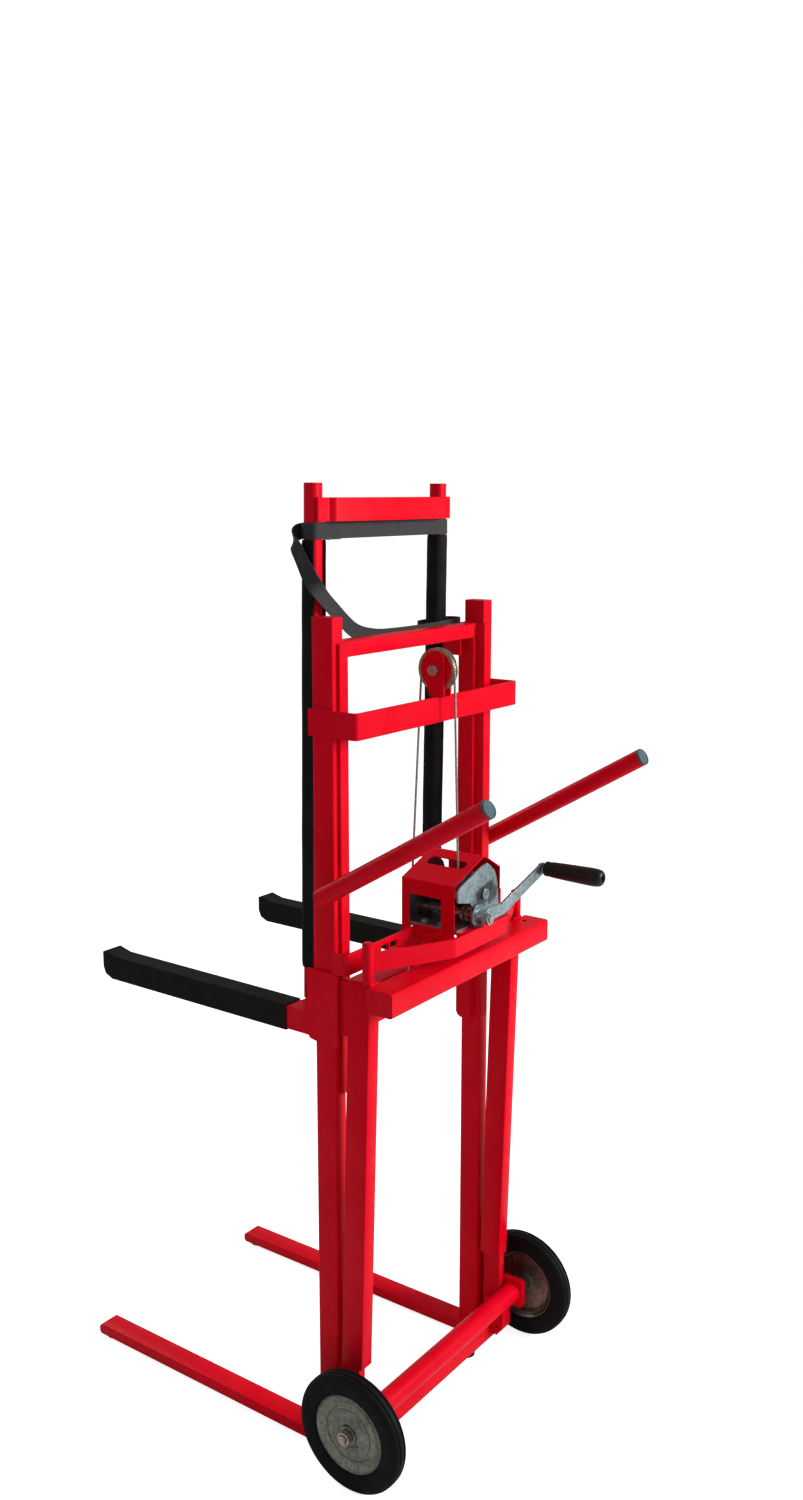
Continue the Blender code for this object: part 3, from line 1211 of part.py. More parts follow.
def forks():
    root = POST_DEEP + GAP + FLAT + GAP
    tall = FORK_TOP - FORK_LOW
    side_view = [
        (root, FORK_LOW), (FORK_TIP - FORK_NOSE, FORK_LOW), (FORK_TIP - 0.006, FORK_LOW + 0.007),
        (FORK_TIP, FORK_LOW + tall * 0.45), (FORK_TIP, FORK_TOP - 0.004), (FORK_TIP - 0.003, FORK_TOP),
        (root, FORK_TOP),
    ]
    plate_view = [
        (OUTER_PLATE_REAR, OUTER_PLATE_LOW), (OUTER_PLATE_FRONT - 0.016, OUTER_PLATE_LOW),
        (OUTER_PLATE_FRONT - 0.005, OUTER_PLATE_LOW + 0.002), (OUTER_PLATE_FRONT, OUTER_PLATE_LOW + 0.009),
        (OUTER_PLATE_FRONT, WINCH_HOOP_LOW - GAP), (OUTER_PLATE_REAR, WINCH_HOOP_LOW - GAP),
    ]
    for side, word in ((-1, "left"), (1, "right")):
        x0, x1 = ordered(FORK_IN, FORK_OUT, side)
        fork = part("fork_" + word, prism(side_view, "X", x0, x1), "red", "carriage")
        hollow = box(
            x0 + TUBE_WALL, x1 - TUBE_WALL, root - 0.01, FORK_TIP - FORK_NOSE,
            FORK_LOW + TUBE_WALL, FORK_TOP - TUBE_WALL,
        )
        cut(fork, hollow, "hollow")
        plate_x = ordered(POST_OUT + GAP, POST_OUT + GAP + FLAT, side)
        join(fork, prism(plate_view, "X", *plate_x), "outer_plate")
        weld_x = ordered(FORK_OUT - 0.0015, POST_OUT + GAP + 0.0015, side)
        weld = box(*weld_x, root + 0.0005, OUTER_PLATE_FRONT - 0.0005, FORK_LOW + 0.004, FORK_TOP - 0.004)
        join(fork, weld, "weld")
        out = SLEEVE_WALL
        sleeve_view = [
            (SLEEVE_START, FORK_LOW - out), (FORK_TIP - FORK_NOSE + 0.001, FORK_LOW - out),
            (FORK_TIP - 0.005 + out, FORK_LOW + 0.005), (FORK_TIP + out + GAP, FORK_LOW + tall * 0.45),
            (FORK_TIP + out + GAP, FORK_TOP + 0.006), (FORK_TIP - 0.004, FORK_TOP + 0.0085),
            (FORK_TIP - 0.030, FORK_TOP + out), (SLEEVE_START, FORK_TOP + out),
        ]
        sleeve = part("fork_sleeve_" + word, prism(sleeve_view, "X", x0 - out, x1 + out), "rubber", "carriage")
        room = [
            (SLEEVE_START - 0.01, FORK_LOW - GAP), (FORK_TIP - FORK_NOSE, FORK_LOW - GAP),
            (FORK_TIP - 0.006 + GAP, FORK_LOW + 0.007 - GAP), (FORK_TIP + GAP, FORK_LOW + tall * 0.45),
            (FORK_TIP + GAP, FORK_TOP + GAP), (SLEEVE_START - 0.01, FORK_TOP + GAP),
        ]
        cut(sleeve, prism(room, "X", x0 - GAP, x1 + GAP), "room")
    half = FORK_IN - GAP
    outer = rounded(root, FORK_CROSS_FRONT, FORK_LOW, FORK_TOP, TUBE_CORNER)
    inner = rounded(
        root + TUBE_WALL, FORK_CROSS_FRONT - TUBE_WALL,
        FORK_LOW + TUBE_WALL, FORK_TOP - TUBE_WALL, TUBE_CORNER - TUBE_WALL,
    )
    part("fork_cross_tube", pipe(outer, inner, "X", -half, half), "red", "carriage")


def lean_back(form):
    """Shears a form drawn at the uprights' top line so that it follows their lean."""
    for vertex in form.verts:
        vertex.co.y += UPRIGHT_LEAN * (UPRIGHT_TOP - vertex.co.z)
    return form


def upright_outline(middle, out):
    """The upright's rounded outline, grown outwards, from its rear right corner round."""
    half = UPRIGHT_WIDE / 2 + out
    front = UPRIGHT_FRONT_TOP
    around = rounded(
        middle - half, middle + half, front - UPRIGHT_DEEP - out, front + out, UPRIGHT_CORNER + out, 4,
    )
    return around[15:] + around[:15]


def left_pad(middle):
    """A U that leaves the upright's rear face bare."""
    rear = UPRIGHT_FRONT_TOP - UPRIGHT_DEEP
    sides = []
    for out in (PAD_WALL + GAP, GAP):
        half = UPRIGHT_WIDE / 2 + out
        sides.append([(middle + half, rear)] + upright_outline(middle, out)[5:15] + [(middle - half, rear)])
    return prism(sides[0] + sides[1][::-1], "Z", PAD_LOW, PAD_TOP)


def right_pad(middle):
    """A sleeve that goes all the way round."""
    outer = upright_outline(middle, PAD_WALL + GAP)
    return pipe(outer, upright_outline(middle, GAP), "Z", PAD_LOW, PAD_TOP)


def uprights():
    for side, word in ((-1, "left"), (1, "right")):
        middle = UPRIGHT_X * side
        outer = upright_outline(middle, 0)
        inner = upright_outline(middle, -TUBE_WALL)
        form = pipe(outer, inner, "Z", FORK_TOP + GAP, UPRIGHT_TOP)
        part("upright_" + word, lean_back(form), "red", "carriage")
        form = left_pad(middle) if side < 0 else right_pad(middle)
        pad = part("pad_" + word, lean_back(form), "foam", "carriage")
    half = LINK_THICK / 2 + SLIDE_GAP
    slot_y = upright_front(LINK_LOW) - UPRIGHT_DEEP
    slot = box(
        LINK_X - half, LINK_X + half, slot_y - 0.02, slot_y + UPRIGHT_DEEP / 2,
        LINK_LOW - SLIDE_GAP, TOP_TUBE_LOW + 0.004 + SLIDE_GAP,
    )
    cut(pad, slot, "gusset_slot")


def carriage_bar():
    at_post = upright_front(BAR_LOW) - UPRIGHT_DEEP - 0.0011 - FLAT / 2
    main = at_post - BAR_STEP
    end = UPRIGHT_X + UPRIGHT_WIDE / 2 - 0.002
    line = (
        (-end, at_post), (-BAR_STEP_X, at_post), (-BAR_STEP_X + 0.006, main), (BAR_CREASE_X, main - BAR_CREASE),
        (BAR_STEP_X - 0.006, main), (BAR_STEP_X, at_post), (end, at_post),
    )
    part("carriage_bar", flat_bar(line, FLAT, BAR_LOW, BAR_TOP), "red", "carriage")


def strap_parts():
    half = STRAP_WIDE / 2
    thick = STRAP_THICK
    clear = 2 * GAP
    front = upright_front(STRAP_Z - half) + clear
    rear = upright_front(STRAP_Z + half) - UPRIGHT_DEEP - clear
    side = UPRIGHT_X + UPRIGHT_WIDE / 2 + clear
    inner = rounded(-side, side, rear, front, 0.0085, 4)
    outer = rounded(-side - thick, side + thick, rear - thick, front + thick, 0.0085 + thick, 4)
    loop = pipe(outer, inner, "Z", STRAP_Z - half, STRAP_Z + half)
    part("strap_loop", loop, "webbing", "carriage")
    face = strap_face()
    pad_front = upright_front(TAIL_Z) + PAD_WALL + 3 * GAP + thick
    rest = face + thick / 2
    out = side + thick
    behind = TAIL_BEHIND_Y
    far = UPRIGHT_X + UPRIGHT_WIDE / 2 + 0.029
    tail = [
        (BUCKLE_X - BUCKLE_HALF - 0.004, rest, STRAP_Z), (-0.145, rest + 0.0015, STRAP_Z),
        (-0.161, rest + 0.0043, STRAP_Z), (0.003 - out, rest + 0.0063, STRAP_Z - 0.0035),
        (-out - 0.0080, rest + 0.0028, STRAP_Z - 0.0145), (-out - 0.0105, rest - 0.0087, STRAP_Z - 0.0335),
        (-out - 0.0095, rest - 0.0260, STRAP_Z - 0.0635), (-out, behind + 0.004, STRAP_Z - 0.0905),
        (-0.150, behind + 0.0005, TAIL_Z + 0.052), (-0.100, behind, TAIL_Z + 0.016), (-0.050, behind, TAIL_Z + 0.003),
        (0.000, behind, TAIL_Z), (0.060, behind, TAIL_Z - 0.0005), (0.120, behind, TAIL_Z),
        (0.175, behind + 0.001, TAIL_Z + 0.0015), (far, behind + 0.0065, TAIL_Z + 0.0015),
        (far + 0.0145, behind + 0.0215, TAIL_Z + 0.0015), (far + 0.009, behind + 0.0405, TAIL_Z + 0.0015),
        (far - 0.011, pad_front + 0.002, TAIL_Z + 0.001), (0.170, pad_front, TAIL_Z),
        (0.140, pad_front, TAIL_Z - 0.001),
    ]
    part("strap_tail", ribbon(tail, STRAP_WIDE, thick), "webbing", "carriage")
    buckle(face)


def buckle(face):
    """A cam buckle on the strap: a plate with two cheeks, and its toothed lever on a pin."""
    pin_y = BODIES["buckle"][1]
    cheek = half_cheek = STRAP_WIDE / 2 + 0.003
    x0, x1 = BUCKLE_X - BUCKLE_HALF, BUCKLE_X + BUCKLE_HALF
    body = part(
        "strap_buckle", box(x0, x1, face, face + 0.0012, STRAP_Z - cheek, STRAP_Z + cheek), "zinc", "carriage",
    )
    for side, word in ((-1, "low"), (1, "high")):
        z0, z1 = sorted((STRAP_Z + side * (half_cheek - 0.0014), STRAP_Z + side * half_cheek))
        view = [
            (x0, face + 0.0006), (x1, face + 0.0006), (x1 - 0.004, face + 0.006), (BUCKLE_X + 0.006, pin_y + 0.005),
            (BUCKLE_X - 0.006, pin_y + 0.005), (x0 + 0.004, face + 0.006),
        ]
        join(body, prism(view, "Z", z0, z1), "cheek_" + word)
    high = STRAP_Z + half_cheek
    low = STRAP_Z - half_cheek
    cut(body, rod("Z", BUCKLE_X, pin_y, BUCKLE_PIN_RADIUS + GAP, low - 0.01, high + 0.01, 16), "pin_hole")
    pad = half_cheek - 0.0014 - SLIDE_GAP
    lever_view = circle(BUCKLE_X, pin_y, 0.0042, 16)
    lever = part(
        "buckle_lever", prism(lever_view, "Z", STRAP_Z - pad, STRAP_Z + pad), "zinc", "buckle",
    )
    tongue = [
        (BUCKLE_X - 0.001, pin_y + 0.0035), (BUCKLE_X - 0.001, pin_y + 0.0005), (BUCKLE_X + 0.026, pin_y + 0.0015),
        (BUCKLE_X + 0.029, pin_y + 0.0045), (BUCKLE_X + 0.026, pin_y + 0.0045),
    ]
    join(lever, prism(tongue, "Z", STRAP_Z - pad + 0.001, STRAP_Z + pad - 0.001), "tongue")
    pin = rod("Z", BUCKLE_X, pin_y, BUCKLE_PIN_RADIUS, low - 0.001, high + 0.001, 16)
    join(lever, pin, "pin")


mast_posts()
floor_legs()
base_bar()
leg_feet()
rear_struts()
cross_member()
upper_hoop = hoops()
guard_bar()
handles()
axle()
wheels()
pulley(upper_hoop)
winch_cover()
winch_frame()
drum_parts()
crank_parts()
crank_grip()
drum_axle()
ratchet_pawl()
cables()
guide_channels()
carriage_tubes()
forks()
uprights()
carriage_bar()
strap_parts()
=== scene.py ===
"""Looks for the hand-winch stacker: paint, zinc, rubber, wire rope and webbing.

All sizes are metres. MAST_Y takes a place in the mast's own lines, where Y = 0 is the
rear face of the mast posts, to the shared frame.
"""

import json
import math

import bmesh
import bpy
from mathutils import Matrix, Vector, noise


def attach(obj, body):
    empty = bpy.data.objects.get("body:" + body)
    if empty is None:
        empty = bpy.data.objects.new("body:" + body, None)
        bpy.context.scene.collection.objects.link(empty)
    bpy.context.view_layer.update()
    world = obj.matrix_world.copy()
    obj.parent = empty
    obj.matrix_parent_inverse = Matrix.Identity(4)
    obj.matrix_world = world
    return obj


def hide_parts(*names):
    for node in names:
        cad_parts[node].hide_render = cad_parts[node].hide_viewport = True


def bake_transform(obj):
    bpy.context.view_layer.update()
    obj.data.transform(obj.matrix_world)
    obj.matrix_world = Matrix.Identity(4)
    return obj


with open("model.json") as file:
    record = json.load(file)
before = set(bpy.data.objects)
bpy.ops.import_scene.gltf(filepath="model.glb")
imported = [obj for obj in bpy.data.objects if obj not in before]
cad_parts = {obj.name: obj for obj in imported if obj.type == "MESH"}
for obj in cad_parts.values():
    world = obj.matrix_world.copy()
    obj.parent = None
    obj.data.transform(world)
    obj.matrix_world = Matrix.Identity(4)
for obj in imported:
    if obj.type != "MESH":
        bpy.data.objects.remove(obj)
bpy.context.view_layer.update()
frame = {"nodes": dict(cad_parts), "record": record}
BODY_OF = {}
for body_name, members in frame["record"]["behaviour"]["bodies"].items():
    for member in members:
        BODY_OF[member] = body_name
SLOT_OF = {entry["node"]: entry["material_slot"] for entry in frame["record"]["subparts"]}
MAST_Y = -0.142009328
POST_OUTER = 0.2226


# Node helpers

class Graph:
    """A material's node tree, with short calls for the nodes used here."""

    def __init__(self, name):
        self.material = bpy.data.materials.new(name)
        self.material.use_nodes = True
        self.tree = self.material.node_tree
        self.shader = self.tree.nodes["Principled BSDF"]
        self.coords = self.tree.nodes.new("ShaderNodeTexCoord").outputs["Object"]

    def put(self, socket, value):
        if isinstance(value, bpy.types.NodeSocket):
            self.tree.links.new(value, socket)
        elif value is not None:
            socket.default_value = value

    def set(self, **values):
        for key, value in values.items():
            self.put(self.shader.inputs[key.replace("_", " ")], value)

    def scaled(self, scale):
        node = self.tree.nodes.new("ShaderNodeMapping")
        self.put(node.inputs["Vector"], self.coords)
        node.inputs["Scale"].default_value = scale
        return node.outputs["Vector"]

    def noise(self, scale, detail=3.0, roughness=0.55, stretch=None):
        node = self.tree.nodes.new("ShaderNodeTexNoise")
        self.put(node.inputs["Vector"], self.scaled(stretch) if stretch else self.coords)
        node.inputs["Scale"].default_value = scale
        node.inputs["Detail"].default_value = detail
        node.inputs["Roughness"].default_value = roughness
        return node.outputs["Fac"]

    def cells(self, scale):
        node = self.tree.nodes.new("ShaderNodeTexVoronoi")
        self.put(node.inputs["Vector"], self.coords)
        node.inputs["Scale"].default_value = scale
        return node.outputs["Distance"]

    def wave(self, vector, scale, direction="X", distortion=0.0):
        node = self.tree.nodes.new("ShaderNodeTexWave")
        node.bands_direction = direction
        self.put(node.inputs["Vector"], vector)
        node.inputs["Scale"].default_value = scale
        node.inputs["Distortion"].default_value = distortion
        return node.outputs["Fac"]

    def oval(self, x, z, half_x, half_z):
        """A mask that is 1 inside an oval drawn across Y, with a ragged edge."""
        node = self.tree.nodes.new("ShaderNodeMapping")
        self.put(node.inputs["Vector"], self.coords)
        node.inputs["Location"].default_value = (-x / half_x, 0, -z / half_z)
        node.inputs["Scale"].default_value = (1 / half_x, 0, 1 / half_z)
        length = self.tree.nodes.new("ShaderNodeVectorMath")
        length.operation = "LENGTH"
        self.put(length.inputs[0], node.outputs["Vector"])
        uneven = self.span(self.noise(90.0, 4.0), 0.3, 0.7, -0.2, 0.2)
        ragged = self.maths("ADD", length.outputs["Value"], uneven)
        return self.span(ragged, 1.05, 0.85)

    def span(self, value, low, high, to_low=0.0, to_high=1.0):
        node = self.tree.nodes.new("ShaderNodeMapRange")
        self.put(node.inputs["Value"], value)
        node.inputs["From Min"].default_value = low
        node.inputs["From Max"].default_value = high
        node.inputs["To Min"].default_value = to_low
        node.inputs["To Max"].default_value = to_high
        return node.outputs["Result"]

    def maths(self, operation, a, b=None):
        node = self.tree.nodes.new("ShaderNodeMath")
        node.operation = operation
        self.put(node.inputs[0], a)
        self.put(node.inputs[1], b)
        return node.outputs[0]

    def mix(self, share, first, second):
        node = self.tree.nodes.new("ShaderNodeMix")
        node.data_type = "RGBA"
        self.put(node.inputs["Factor"], share)
        for name, colour in (("A", first), ("B", second)):
            socket = [s for s in node.inputs if s.name == name and s.type == "RGBA"][0]
            self.put(socket, colour if isinstance(colour, bpy.types.NodeSocket) else (*colour, 1))
        return [s for s in node.outputs if s.type == "RGBA"][0]

    def bump(self, height, strength, distance):
        node = self.tree.nodes.new("ShaderNodeBump")
        self.put(node.inputs["Height"], height)
        node.inputs["Strength"].default_value = strength
        node.inputs["Distance"].default_value = distance
        return node.outputs["Normal"]

    def edges(self, radius, low=0.90, high=0.999):
        """A mask that is 1 along sharp edges, from how far a rounded normal turns from the flat one."""
        bevel = self.tree.nodes.new("ShaderNodeBevel")
        bevel.samples = 4
        bevel.inputs["Radius"].default_value = radius
        geometry = self.tree.nodes.new("ShaderNodeNewGeometry")
        dot = self.tree.nodes.new("ShaderNodeVectorMath")
        dot.operation = "DOT_PRODUCT"
        self.put(dot.inputs[0], bevel.outputs["Normal"])
        self.put(dot.inputs[1], geometry.outputs["Normal"])
        return self.span(dot.outputs["Value"], high, low)


def red_paint():
    g = Graph("red_powder_coat")
    tone = g.span(g.noise(5.0, 4.0), 0.35, 0.65)
    red = g.mix(tone, (0.62, 0.0002, 0.010), (0.70, 0.0003, 0.014))
    scuff = g.span(g.noise(70.0, 6.0, 0.7, (1, 1, 0.35)), 0.66, 0.74)
    red = g.mix(g.maths("MULTIPLY", scuff, 0.14), red, (0.42, 0.012, 0.014))
    wear = g.maths("MULTIPLY", g.edges(0.0018), g.span(g.noise(38.0, 5.0, 0.65), 0.50, 0.62))
    red = g.mix(g.maths("MULTIPLY", wear, 0.40), red, (0.30, 0.010, 0.012))
    dust = g.span(g.noise(14.0, 5.0, 0.6), 0.45, 0.80, 0.0, 0.015)
    red = g.mix(dust, red, (0.62, 0.42, 0.36))
    peel = g.noise(520.0, 2.0)
    rough = g.span(g.noise(26.0, 4.0), 0.3, 0.7, 0.26, 0.40)
    g.set(Base_Color=red, Roughness=rough, Normal=g.bump(peel, 0.10, 0.0004))
    g.set(Coat_Weight=0.02, Coat_Roughness=0.15, Specular_IOR_Level=0.05)
    return g.material


ZINC_DARK = (0.19, 0.25, 0.27)
ZINC_LIGHT = (0.36, 0.44, 0.46)
# Colour of a painted shadow on the winch plate, round the gear's hub
GEAR_SHADOW_COLOUR = (0.035, 0.045, 0.048)
# The painted shadow round the gear's hub: its middle in X and Z, then half its width and height
GEAR_SHADOW_OVAL = (0.040, 0.930, 0.036, 0.019)


def zinc_plate(name, dark, light, shadow_oval=None):
    """Zinc plating with stains, and an oval of painted shadow where one is named."""
    g = Graph(name)
    flakes = g.span(g.cells(140.0), 0.0, 0.7)
    base = g.mix(flakes, dark, light)
    stain = g.span(g.noise(22.0, 5.0, 0.65), 0.52, 0.75)
    base = g.mix(g.maths("MULTIPLY", stain, 0.35), base, (0.12, 0.11, 0.085))
    if shadow_oval:
        # Painted shadow: a dark oval darkens the plate round the gear's hub
        base = g.mix(g.maths("MULTIPLY", g.oval(*shadow_oval), 0.80), base, GEAR_SHADOW_COLOUR)
    rough = g.span(g.noise(60.0, 4.0), 0.3, 0.75, 0.30, 0.50)
    lines = g.noise(900.0, 2.0, 0.5, (1, 0.05, 1))
    g.set(Base_Color=base, Metallic=1.0, Roughness=rough, Normal=g.bump(lines, 0.08, 0.0003))
    return g.material


def dull_steel():
    g = Graph("dull_steel")
    rust = g.span(g.noise(180.0, 6.0, 0.7), 0.48, 0.68)
    base = g.mix(rust, (0.46, 0.42, 0.37), (0.22, 0.105, 0.045))
    rough = g.span(rust, 0.0, 1.0, 0.32, 0.72)
    g.set(Base_Color=base, Metallic=0.9, Roughness=rough)
    g.set(Normal=g.bump(g.noise(700.0, 3.0), 0.25, 0.0003))
    return g.material


def wire_rope():
    g = Graph("wire_rope")
    grime = g.span(g.noise(240.0, 4.0, 0.6), 0.35, 0.70)
    base = g.mix(grime, (0.42, 0.39, 0.35), (0.17, 0.145, 0.12))
    g.set(Base_Color=base, Metallic=1.0, Roughness=g.span(grime, 0.0, 1.0, 0.28, 0.55))
    return g.material


def black_rubber(name, colour, grain, rough, depth=0.25):
    g = Graph(name)
    dust = g.span(g.noise(18.0, 5.0, 0.65), 0.42, 0.80)
    grey = tuple(min(1.0, channel * 1.8 + 0.006) for channel in colour)
    base = g.mix(g.maths("MULTIPLY", dust, 0.20), colour, grey)
    scuff = g.span(g.noise(120.0, 5.0, 0.7), 0.62, 0.72)
    base = g.mix(g.maths("MULTIPLY", scuff, 0.20), base, (0.045, 0.042, 0.040))
    g.set(Base_Color=base, Roughness=g.span(g.noise(40.0), 0.3, 0.7, rough - 0.08, rough + 0.10))
    g.set(Normal=g.bump(g.noise(grain, 3.0), depth, 0.0004), Specular_IOR_Level=0.08)
    return g.material


def foam():
    g = Graph("closed_cell_foam")
    pores = g.cells(900.0)
    tone = g.span(g.noise(30.0, 4.0), 0.3, 0.7)
    base = g.mix(tone, (0.005, 0.005, 0.005), (0.010, 0.010, 0.010))
    g.set(Base_Color=base, Roughness=g.span(pores, 0.0, 0.6, 0.80, 0.92))
    g.set(Normal=g.bump(pores, 0.45, 0.0005), Specular_IOR_Level=0.15)
    return g.material


def webbing():
    """A narrow-wale weave: ribs along the strap, crossed by picks."""
    g = Graph("woven_webbing")
    ribs = g.wave(g.coords, 210.0, "Z")
    picks = g.wave(g.coords, 330.0, "X", 0.4)
    weave = g.maths("MULTIPLY", ribs, picks)
    fuzz = g.noise(1400.0, 3.0)
    base = g.mix(g.span(weave, 0.1, 0.9), (0.006, 0.006, 0.007), (0.030, 0.030, 0.033))
    base = g.mix(g.span(g.noise(25.0, 4.0), 0.5, 0.8, 0.0, 0.20), base, (0.030, 0.028, 0.026))
    g.set(Base_Color=base, Roughness=g.span(fuzz, 0.3, 0.7, 0.62, 0.82))
    g.set(Normal=g.bump(weave, 0.6, 0.0005), Sheen_Weight=0.04, Sheen_Roughness=0.4)
    return g.material


def plastic():
    g = Graph("black_plastic")
    grain = g.cells(1300.0)
    base = g.mix(g.span(g.noise(40.0, 4.0), 0.4, 0.7), (0.006, 0.006, 0.005), (0.011, 0.011, 0.009))
    g.set(Base_Color=base, Roughness=g.span(g.noise(60.0), 0.3, 0.7, 0.30, 0.45))
    g.set(Normal=g.bump(grain, 0.12, 0.0003), Specular_IOR_Level=0.22)
    return g.material


def plug_painted_reflection():
    g = Graph("black_plug_painted_reflection")
    # Painted reflection: the black plug is coloured blue-grey all over, standing in for the sheen on its
    # end face
    base = g.mix(g.span(g.noise(40.0, 4.0), 0.4, 0.7), (0.045, 0.075, 0.095), (0.075, 0.115, 0.140))
    g.set(Base_Color=base, Roughness=0.40, Specular_IOR_Level=0.25)
    return g.material


LOOKS = {
    "red_paint": red_paint(),
    "zinc": zinc_plate("zinc_plate", ZINC_DARK, ZINC_LIGHT),
    "steel": dull_steel(),
    "cable": wire_rope(),
    "black_rubber": black_rubber("fork_rubber", (0.008, 0.0075, 0.0065), 300.0, 0.62),
    "tyre": black_rubber("tyre_rubber", (0.005, 0.0055, 0.0065), 420.0, 0.55),
    "black_foam": foam(),
    "black_plastic": plastic(),
    "webbing": webbing(),
}
# The winch frame's plating, with a painted shadow round the gear's hub
WINCH_ZINC = zinc_plate("zinc_plate_gear_shadow", ZINC_DARK, ZINC_LIGHT, GEAR_SHADOW_OVAL)
DULL_ZINC = zinc_plate("dull_zinc_plate", (0.12, 0.13, 0.105), (0.24, 0.25, 0.205))
BRASSY_ZINC = zinc_plate("brassy_zinc_plate", (0.20, 0.17, 0.10), (0.36, 0.31, 0.20))
PLUG_PAINTED_REFLECTION = plug_painted_reflection()


# Pieces

def finish_piece(piece, node, material=None):
    """Gives a piece the finish for its node's slot, and hides the node that it stands for."""
    slot = SLOT_OF[node]
    piece.data.materials.clear()
    piece.data.materials.append(material or LOOKS[slot])
    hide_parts(node)
    return piece


def link(name, form, angle=35.0):
    mesh = bpy.data.meshes.new(name)
    form.to_mesh(mesh)
    form.free()
    mesh.shade_smooth()
    mesh.set_sharp_from_angle(angle=math.radians(angle))
    piece = bpy.data.objects.new(name, mesh)
    bpy.context.collection.objects.link(piece)
    return piece


MERGE_DISTANCE = 1e-6
FLAT_ANGLE = 0.6
EDGE_ANGLE = 30.0


def dress(node, bevel):
    """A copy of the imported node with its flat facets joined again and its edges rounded."""
    form = bmesh.new()
    form.from_mesh(frame["nodes"][node].data)
    bmesh.ops.remove_doubles(form, verts=form.verts, dist=MERGE_DISTANCE)
    bmesh.ops.dissolve_limit(
        form, angle_limit=math.radians(FLAT_ANGLE), verts=form.verts, edges=form.edges,
    )
    piece = link(node + "_finished", form, EDGE_ANGLE)
    rounding = piece.modifiers.new("edges", "BEVEL")
    rounding.width = bevel
    rounding.segments = 2
    rounding.limit_method = "ANGLE"
    rounding.angle_limit = math.radians(EDGE_ANGLE)
    rounding.harden_normals = True
    finish_piece(piece, node, material=WINCH_ZINC if node == "winch_frame" else None)
    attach(piece, BODY_OF[node])
    return piece


def soften(profile, radius, closed=True, steps=3):
    """Rounds each corner of a profile by at most this radius."""
    count = len(profile)
    out = []
    for i, here in enumerate(profile):
        if not closed and i in (0, count - 1):
            out.append(here)
            continue
        here = Vector(here)
        before = Vector(profile[i - 1])
        after = Vector(profile[(i + 1) % count])
        reach = min(radius, 0.4 * (before - here).length, 0.4 * (after - here).length)
        start = here + (before - here).normalized() * reach
        end = here + (after - here).normalized() * reach
        for step in range(steps + 1):
            t = step / steps
            point = start * (1 - t) ** 2 + here * 2 * t * (1 - t) + end * t ** 2
            out.append((point.x, point.y))
    return out


def spin(profile, axis, a, b, steps, closed=True, form=None):
    """A profile of (radius, place along the axis) turned about the axis at (a, b)."""
    form = form or bmesh.new()
    rings = []
    for radius, along in profile:
        ring = []
        for i in range(steps):
            turn = 2 * math.pi * i / steps
            u = a + radius * math.cos(turn)
            v = b + radius * math.sin(turn)
            place = {"X": (along, u, v), "Y": (u, along, v), "Z": (u, v, along)}[axis]
            ring.append(form.verts.new(place))
        rings.append(ring)
    last = len(rings) if closed else len(rings) - 1
    for k in range(last):
        here, there = rings[k], rings[(k + 1) % len(rings)]
        for i in range(steps):
            j = (i + 1) % steps
            form.faces.new((here[i], here[j], there[j], there[i]))
    if not closed:
        form.faces.new(rings[0])
        form.faces.new(rings[-1])
    bmesh.ops.recalc_face_normals(form, faces=form.faces)
    return form


def skin(form, rings):
    """Closes a row of rings into one solid, with a face at each end."""
    form.faces.new(rings[0])
    form.faces.new(rings[-1])
    for here, there in zip(rings, rings[1:]):
        for i in range(len(here)):
            j = (i + 1) % len(here)
            form.faces.new((here[i], here[j], there[j], there[i]))
    bmesh.ops.recalc_face_normals(form, faces=form.faces)
    return form


def quarter(cx, cy, radius, start, steps):
    """Points of a quarter circle, clockwise from this angle in degrees."""
    angles = [math.radians(start - 90 * step / steps) for step in range(steps + 1)]
    return [(cx + radius * math.cos(angle), cy + radius * math.sin(angle)) for angle in angles]


TURNED_ANGLE = 40.0


def turned_piece(node, profile, axis, a, b, steps, round_by):
    form = spin(soften(profile, round_by), axis, a, b, steps)
    piece = link(node + "_finished", form, TURNED_ANGLE)
    finish_piece(piece, node)
    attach(piece, BODY_OF[node])
    return piece


# Wheels

AXLE_Y = -0.0615 + MAST_Y
WHEEL_RADIUS = 0.100
WHEEL_IN = 0.2487
WHEEL_OUT = 0.2787
WHEEL_STEPS = 96
RIM_RADIUS = 0.066
RIM_HALF = 0.0115
HUB_IN = 0.2352
HUB_BORE = 0.0085


def tyre(side, word):
    """Solid rubber tyre: beads at the rim, a moulding line on each wall, two grooves in the tread."""
    middle = side * (WHEEL_IN + WHEEL_OUT) / 2
    half = (WHEEL_OUT - WHEEL_IN) / 2
    wall = (
        (RIM_RADIUS + 0.0003, 0.80), (RIM_RADIUS + 0.0022, 0.93), (RIM_RADIUS + 0.0045, 0.965),
        (RIM_RADIUS + 0.0060, 0.940), (RIM_RADIUS + 0.0075, 0.970), (WHEEL_RADIUS - 0.0200, 0.995),
        (WHEEL_RADIUS - 0.0140, 0.998), (WHEEL_RADIUS - 0.0128, 0.970), (WHEEL_RADIUS - 0.0115, 0.985),
        (WHEEL_RADIUS - 0.0060, 0.90), (WHEEL_RADIUS - 0.0030, 0.80), (WHEEL_RADIUS - 0.0012, 0.66),
        (WHEEL_RADIUS - 0.0002, 0.48), (WHEEL_RADIUS - 0.0022, 0.42), (WHEEL_RADIUS - 0.0024, 0.33),
        (WHEEL_RADIUS - 0.0001, 0.26), (WHEEL_RADIUS, 0.10),
    )
    profile = [(radius, middle + half * across) for radius, across in wall]
    profile += [(radius, middle - half * across) for radius, across in reversed(wall)]
    turned_piece("tyre_" + word, profile, "X", AXLE_Y, WHEEL_RADIUS, WHEEL_STEPS, 0.0009)


